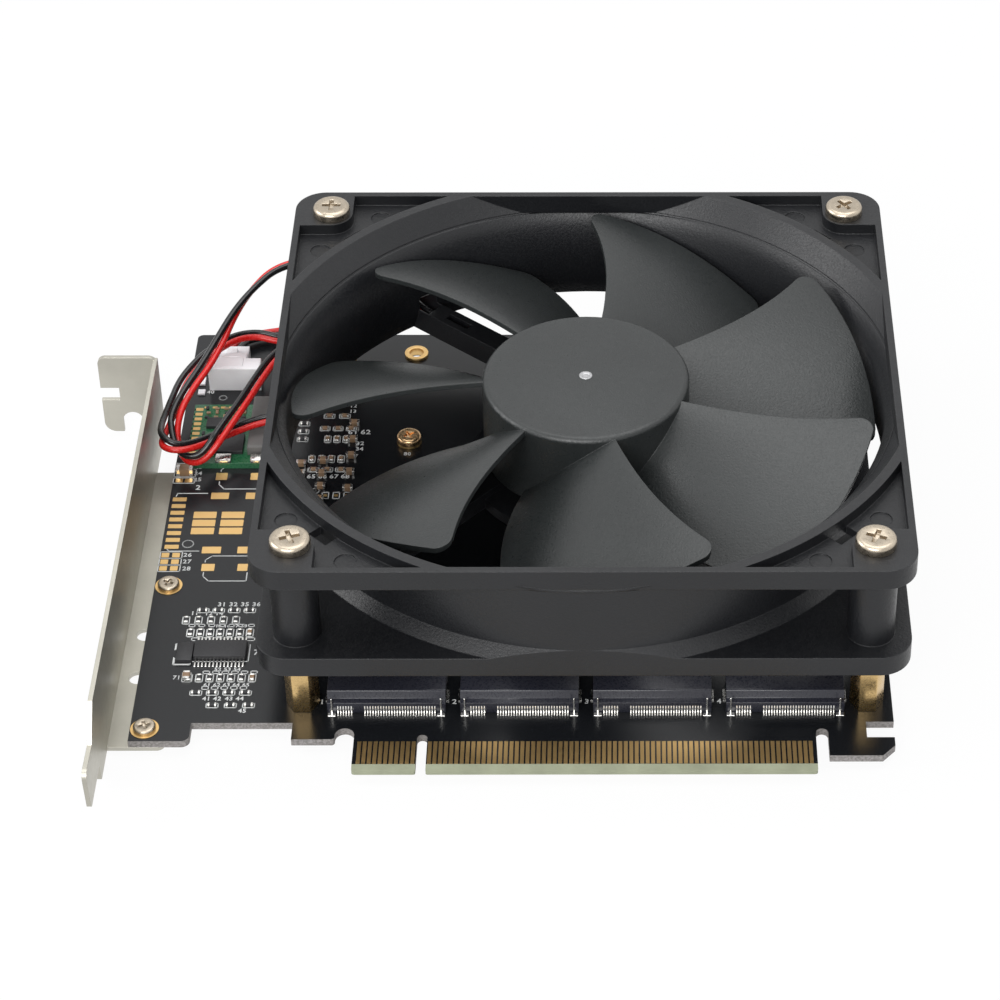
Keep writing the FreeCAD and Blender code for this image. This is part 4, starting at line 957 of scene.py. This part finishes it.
def makeInletBand():
    low, high = inletBand["low"], inletBand["high"]
    bpy.ops.object.select_all(action="DESELECT")
    bpy.ops.mesh.primitive_cone_add(
        vertices=inletBand["sides"], radius1=inletBand["lowRadius"] * mm,
        radius2=inletBand["highRadius"] * mm, depth=(high - low) * mm, end_fill_type="NOTHING",
        location=fanAxis + up * (low + high) / 2 * mm)
    band = settle(bpy.context.object)
    applyModifier(band, "SOLIDIFY", thickness=inletBand["wall"] * mm, offset=1.0)
    for axis in ((-1, 0, 0), (0, -1, 0), (1, 0, 0), (0, 1, 0)):  # cut off at the frame's flat sides
        only(band)
        bpy.ops.object.mode_set(mode="EDIT")
        bpy.ops.mesh.select_all(action="SELECT")
        bpy.ops.mesh.bisect(
            plane_co=fanAxis + Vector(axis) * inletBand["half"] * mm, plane_no=axis, use_fill=True,
            clear_outer=True, clear_inner=False)
        bpy.ops.object.mode_set(mode="OBJECT")
    faceOut(band)
    band.name = "inletBand"
    place(band, "frame_plastic")


# a low cap on the hub's middle, with a rim round a shallow well
hubMark = {"radius": 1.25, "rise": 0.14, "sides": 32, "rim": 0.45, "slope": 0.15, "well": 0.126}


def makeHubMark():
    top = boxOf("impeller")[1].z
    bpy.ops.object.select_all(action="DESELECT")
    bpy.ops.mesh.primitive_cylinder_add(
        vertices=hubMark["sides"], radius=hubMark["radius"] * mm, depth=hubMark["rise"] * 2 * mm,
        location=fanAxis + up * top * mm)
    mark = settle(bpy.context.object)
    bpy.ops.object.mode_set(mode="EDIT")
    bpy.ops.mesh.select_mode(type="FACE")
    bpy.ops.mesh.select_all(action="DESELECT")
    bpy.ops.object.mode_set(mode="OBJECT")
    for polygon in mark.data.polygons:
        polygon.select = polygon.normal.z > 0.9
    bpy.ops.object.mode_set(mode="EDIT")
    bpy.ops.mesh.inset(thickness=hubMark["rim"] * mm, depth=0)
    bpy.ops.mesh.inset(thickness=hubMark["slope"] * mm, depth=-hubMark["well"] * mm)
    bpy.ops.object.mode_set(mode="OBJECT")
    place(mark, "motor_steel", "rotor")
    mark.name = "hubMark"


stage = {
    "size": 6,
    "gap": 0.0002,  # below the lowest point, so that nothing lies in the floor
    "paper": 0.82,
    "paperRoughness": 0.9,
    "glow": 0.94,   # how much of the floor's white is its own
    "sky": (0.9, 0.93, 1.0),
    "skyStrength": 0.35,
}


def seenDirectly(tree):  # 1 where the camera sees it, also in metal and through glass
    path = tree.nodes.new("ShaderNodeLightPath")
    mirror = sums(tree, "MAXIMUM", path.outputs["Is Glossy Ray"], path.outputs["Is Transmission Ray"])
    return sums(tree, "MAXIMUM", path.outputs["Is Camera Ray"], mirror)


def mixShaders(tree, factor, first, second, output):
    mix = tree.nodes.new("ShaderNodeMixShader")
    for socket, value in zip(mix.inputs, (factor, first.outputs[0], second.outputs[0])):
        tree.links.new(value, socket)
    tree.links.new(mix.outputs[0], tree.nodes[output].inputs["Surface"])


def makeFloor():
    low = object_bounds()[0].z
    bpy.ops.object.select_all(action="DESELECT")
    bpy.ops.mesh.primitive_plane_add(size=stage["size"], location=(0, 0, low - stage["gap"]))
    floor = bpy.context.object
    floor.name = "paleFloor"
    material, tree, shader = newMaterial("floorPaper")
    shader.inputs["Base Color"].default_value = (*[stage["paper"]] * 3, 1)
    shader.inputs["Roughness"].default_value = stage["paperRoughness"]
    glow = tree.nodes.new("ShaderNodeEmission")
    glow.inputs["Color"].default_value = (1, 1, 1, 1)
    seen = sums(tree, "MULTIPLY", seenDirectly(tree), stage["glow"])
    mixShaders(tree, seen, shader, glow, "Material Output")
    floor.data.materials.append(material)


def makeWorld():
    world = bpy.data.worlds.new("studio")
    bpy.context.scene.world = world
    world.use_nodes = True
    tree = world.node_tree
    back = tree.nodes["Background"]
    back.inputs["Color"].default_value = (*stage["sky"], 1)
    back.inputs["Strength"].default_value = stage["skyStrength"]
    white = tree.nodes.new("ShaderNodeBackground")
    white.inputs["Color"].default_value = (1, 1, 1, 1)
    mixShaders(tree, seenDirectly(tree), back, white, "World Output")


addLamps()
dressNodes()
print("solids dressed")
makePads()
makePrintedLines()
makePrintedNumbers()
makeTinnedEnds()
makeSmallChips()
print("board dressed")
makeSocketLeads()
makeSocketEars()
makeModuleChips()
makeModulePads()
makeModulePassives()
makeModuleTerminals()
makeClockLeads()
makeHeaderParts()
makeInletBand()
makeHubMark()
print("small parts made")
makeFloor()
makeWorld()
bpy.context.scene.view_settings.view_transform = "Standard"
print("scene ready")
